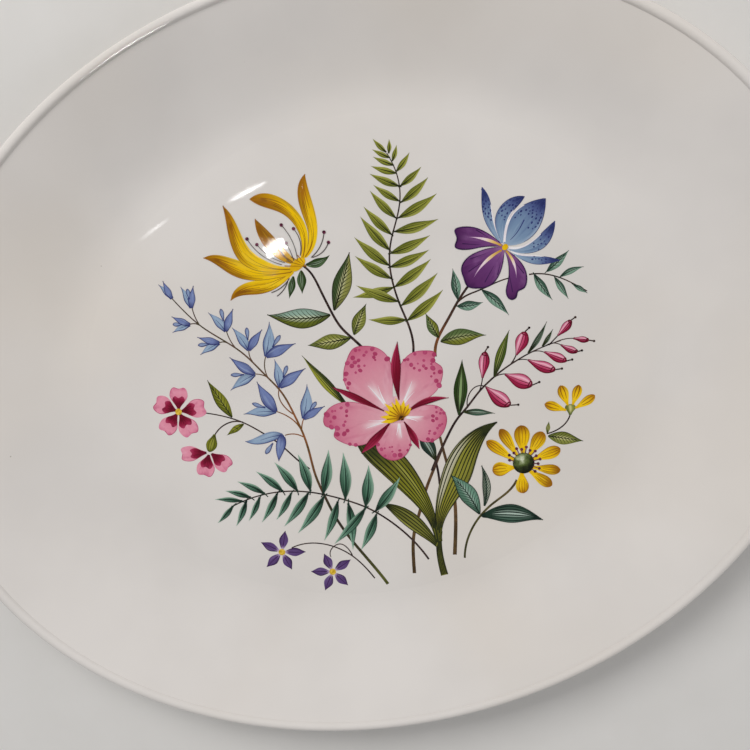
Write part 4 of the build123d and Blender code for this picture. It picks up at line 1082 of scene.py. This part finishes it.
ink = Ink()
near_bell = bell_enamel("near_bell", (144, 166, 190), (90, 108, 152), (66, 76, 124))
far_bell = bell_enamel("far_bell", (112, 126, 172), (54, 60, 116), (48, 54, 108))
tongue = bell_enamel("bell_tongue", (130, 146, 180), (50, 56, 112), (74, 84, 134))
for node, material in (("bluebell_far_lobes", far_bell), ("bluebell_near_lobes", near_bell),
        ("bluebell_tongues", tongue)):
    for patch in painted_films(node, material):
        left_edge(ink, patch, 0.34, 0.14)
        if node == "bluebell_near_lobes":
            stroke(ink, patch, (0.4, 0.06), (0.46, 0.6), 0.3, 0.08, 0.03, 12)
        else:
            right_edge(ink, patch, 0.2, 0.12)
ink.piece("bluebell_lines", navy_line, "bluebell_far_lobes")


# ---- phlox and violets

phlox = Enamel("phlox")
phlox.along([(0, (176, 74, 108)), (0.35, (214, 126, 150)), (0.8, (222, 146, 166)), (1, (208, 116, 146))])
phlox.side((228, 178, 190), 0.2, 0.5)
phlox.streaks((184, 84, 118), 6, 0.5)
phlox.streaks((232, 180, 194), 5, 0.4, low=0.4, shift=5)
ink = Ink()
for patch in painted_films("phlox_petals", phlox.finish(), shape=Fan):
    left_edge(ink, patch, 0.14, 0.2, 0.3)
ink.piece("phlox_petal_edges", rose_line, "phlox_petals")
eye = Enamel("phlox_eye")
eye.along([(0, (74, 4, 18)), (0.4, (106, 8, 34)), (0.75, (142, 26, 60)), (1, (172, 58, 94))])
eye.streaks((72, 4, 20), 6, 0.6)
eye.side((184, 78, 114), 0.25, 0.5, low=0.5)
ink = Ink()
for patch in painted_films("phlox_eyes", eye.finish(), shape=Fan):
    for u in (0.3, 0.45, 0.6, 0.75):
        stroke(ink, patch, (0.5 + 0.5 * (u - 0.5), 0.1), (u, 0.75), 0.36, 0.1, 0, 8)
ink.piece("phlox_eye_lines", crimson_line, "phlox_eyes")

violet = Enamel("violet")
violet.along([(0, (206, 192, 204)), (0.1, (150, 128, 164)), (0.24, (94, 70, 120)), (0.8, (80, 56, 106)),
    (1, (58, 38, 80))])
violet.side((48, 30, 70), 0.45, 0.75, low=0.15)
violet.streaks((132, 110, 156), 5, 0.45, high=0.8)
ink = Ink()
for patch in painted_films("violet_petals", violet.finish()):
    stroke(ink, patch, (0.5, 0.16), (0.5, 0.92), 0.34, 0.1, 0.03)
    left_edge(ink, patch, 0.26, 0.2, 0.1)
ink.piece("violet_lines", plum_line, "violet_petals")


# ---- large pink flower

pink = Enamel("pink_flower")
pink.along([(0, (228, 190, 196)), (0.2, (216, 156, 168)), (0.5, (212, 142, 158)), (0.75, (206, 126, 148)),
    (1, (192, 92, 122))])
pink.wash(pink.math("MULTIPLY", pink.window(0.38, 0.5, 0.07, pink.u), pink.window(-1, 0.36, 0.14)),
    (232, 214, 216))
pink.side((194, 100, 130), 0.1, 0.6, low=0.2)
pink.side((194, 100, 130), 0.1, 0.6, right=True, low=0.2)
pink.streaks((222, 170, 182), 5, 0.5, high=0.62)
pink.streaks((186, 92, 122), 5, 0.45, low=0.3, shift=6)
rose = Ink()
rng = random.Random(11)
freckles = {(-16.9, -22.5): (90, 0.02, 0.98), (-7.1, 5.5): (62, 0.05, 0.8), (20.5, 4.2): (80, 0.2, 0.98),
    (24.9, -22.4): (34, 0.25, 0.8), (6.3, -34.7): (34, 0.1, 0.9)}
for patch in painted_films("pink_flower_petals", pink.finish(), shape=Fan):
    tip = next((place for place in freckles if tip_near(patch, place)), (0, 0))
    count, low, high = freckles.get(tip, (20, 0.1, 0.9))
    placed = []
    for _ in range(count):
        v = 0.97 - 0.42 * rng.random() ** 1.7
        spot = patch.at(rng.uniform(low, high), v)
        size = rng.uniform(0.45, 1) * (0.45 + 1.1 * (v - 0.5))
        if math.dist(spot, patch.hub) < 0.66 * patch.outer:
            continue
        if any(math.dist(spot, other) < (size + radius) * MM for other, radius in placed):
            continue
        placed.append((spot, size))
        rose.dot(spot, patch.height + film_thickness, size * MM, rng.uniform(0.9, 1.25), rng.uniform(0, 3.1), 14)
    for left in (True, False):
        edge_line(rose, patch, left, 0.1, 0.26, 0.2)
    for u, reach, width in ((0.4, 0.46, 0.8), (0.56, 0.34, 0.5)):
        stroke(pale, patch, (0.46 + 0.5 * (u - 0.5), 0.04), (u, reach), width, 0.06, 0, 14)
rose.piece("pink_flower_freckles", rose_line, "pink_flower_petals")
pale.piece("white_strokes", white_line, "iris_flashes")
blush = plain_enamel("paint_blush", (214, 164, 174), (226, 186, 192), 300)
heart = Ink()
heart.dot(drawn(8.2, -17), heart_heights["pink"], 5.6 * MM, 1, 0, 36)
heart.piece("pink_flower_heart", blush, "pink_flower_petals")

sepal = Enamel("pink_sepal")
sepal.along([(0, (96, 4, 26)), (0.5, (118, 8, 36)), (0.85, (140, 20, 54)), (1, (172, 58, 90))])
sepal.side((188, 58, 96), 0.34, 0.7, low=0.4)
sepal.side((70, 2, 18), 0.3, 0.6, right=True)
sepal.streaks((72, 2, 20), 5, 0.5)
sepal.streaks((176, 46, 84), 4, 0.5, low=0.4, shift=3)
ink = Ink()
for patch in painted_films("pink_flower_sepals", sepal.finish()):
    stroke(ink, patch, (0.5, 0.05), (0.5, 0.9), 0.3, 0.1, 0.03, 14)
    right_edge(ink, patch, 0.3, 0.2)
ink.piece("sepal_lines", crimson_line, "pink_flower_sepals")


def radial_enamel(name, centre, reach, stops, wobble):
    """Paint laid in rings about a point of the drawing."""
    paint = Paint(name, 0.12, enamel_specular, enamel_lift)
    place = paint.place()
    flat = paint.node("ShaderNodeVectorMath", operation="MULTIPLY")
    paint.link(place, flat.inputs[0])
    flat.inputs[1].default_value = (1, 1, 0)
    away = paint.node("ShaderNodeVectorMath", operation="DISTANCE")
    paint.link(flat.outputs[0], away.inputs[0])
    away.inputs[1].default_value = (*drawn(*centre), 0)
    wander = paint.math("MULTIPLY_ADD", paint.noise(place, 700, 3), wobble, -wobble / 2)
    share = paint.math("MULTIPLY_ADD", away.outputs["Value"], 1 / (reach * MM), wander)
    paint.colour(paint.ramp(share, stops))
    return paint.fired()


star = (9.5, -19.3)
dress("pink_flower_stamens", radial_enamel("paint_stamens", star, 9,
    [(0, (44, 22, 4)), (0.1, (76, 44, 6)), (0.22, (200, 146, 14)), (0.5, (236, 196, 26)), (0.85, (234, 192, 24)),
    (1, (204, 150, 12))], 0.12))
ink = Ink()
for outline, height in film_outlines("pink_flower_stamens"):
    hub = drawn(*star)
    for point, turn in zip(outline, turns(outline)):
        if turn < -math.radians(40):
            ink.line(even_points(np.array([point, hub + 0.2 * (point - hub)]), 6), height + film, 0.4 * MM,
                0.2 * MM)
ink.piece("stamen_lines", brown_line, "pink_flower_stamens")


# ---- pink bells and the daisy's middle

bell = Enamel("pink_bell")
bell.across([(0, (170, 46, 84)), (0.16, (206, 116, 146)), (0.28, (236, 184, 198)), (0.38, (220, 132, 158)),
    (0.58, (192, 72, 110)), (0.8, (150, 28, 66)), (1, (110, 8, 36))])
bell.wash(bell.span(bell.v, 0, 0.16, 0.8, 0), (96, 10, 34))
bell.wash(bell.span(bell.v, 0.78, 0.92, 0, 0.85), (128, 16, 48))
bell.streaks((150, 28, 66), 6, 0.5, low=0.1)
ink = Ink()
for patch in painted_films("pink_bell_flowers", bell.finish()):
    strokes(ink, patch, ((0.45, 0.08, 0.78), (0.68, 0.06, 0.84)), 0.14, 0.34, 0.04, 14)
    right_edge(ink, patch, 0.2, 0.5)
    left_edge(ink, patch, 0.12, 0.24)
    mouth = [patch.at(0.5 + 0.44 * math.cos(k * math.pi / 8),
        0.87 + 0.055 * math.sin(k * math.pi / 8)) for k in range(17)]
    ink.line(mouth, patch.height + film_thickness, 0.46 * MM, 0.46 * MM)
ink.piece("pink_bell_lines", crimson_line, "pink_flower_sepals")

dress("daisy_middle", radial_enamel("paint_daisy_middle", (51.8, -33.8), 5.2,
    [(0, (222, 226, 204)), (0.2, (148, 158, 118)), (0.42, (82, 96, 48)), (0.66, (42, 50, 22)),
    (0.9, (20, 24, 12))], 0.75))

stage = Paint("studio_paper", 0.9, 0.1)
grain = stage.noise(stage.place(), 60, 3)
stage.colour(stage.mix(grain, (226, 224, 220), (232, 230, 227)))
floor_mesh.materials.append(stage.material)
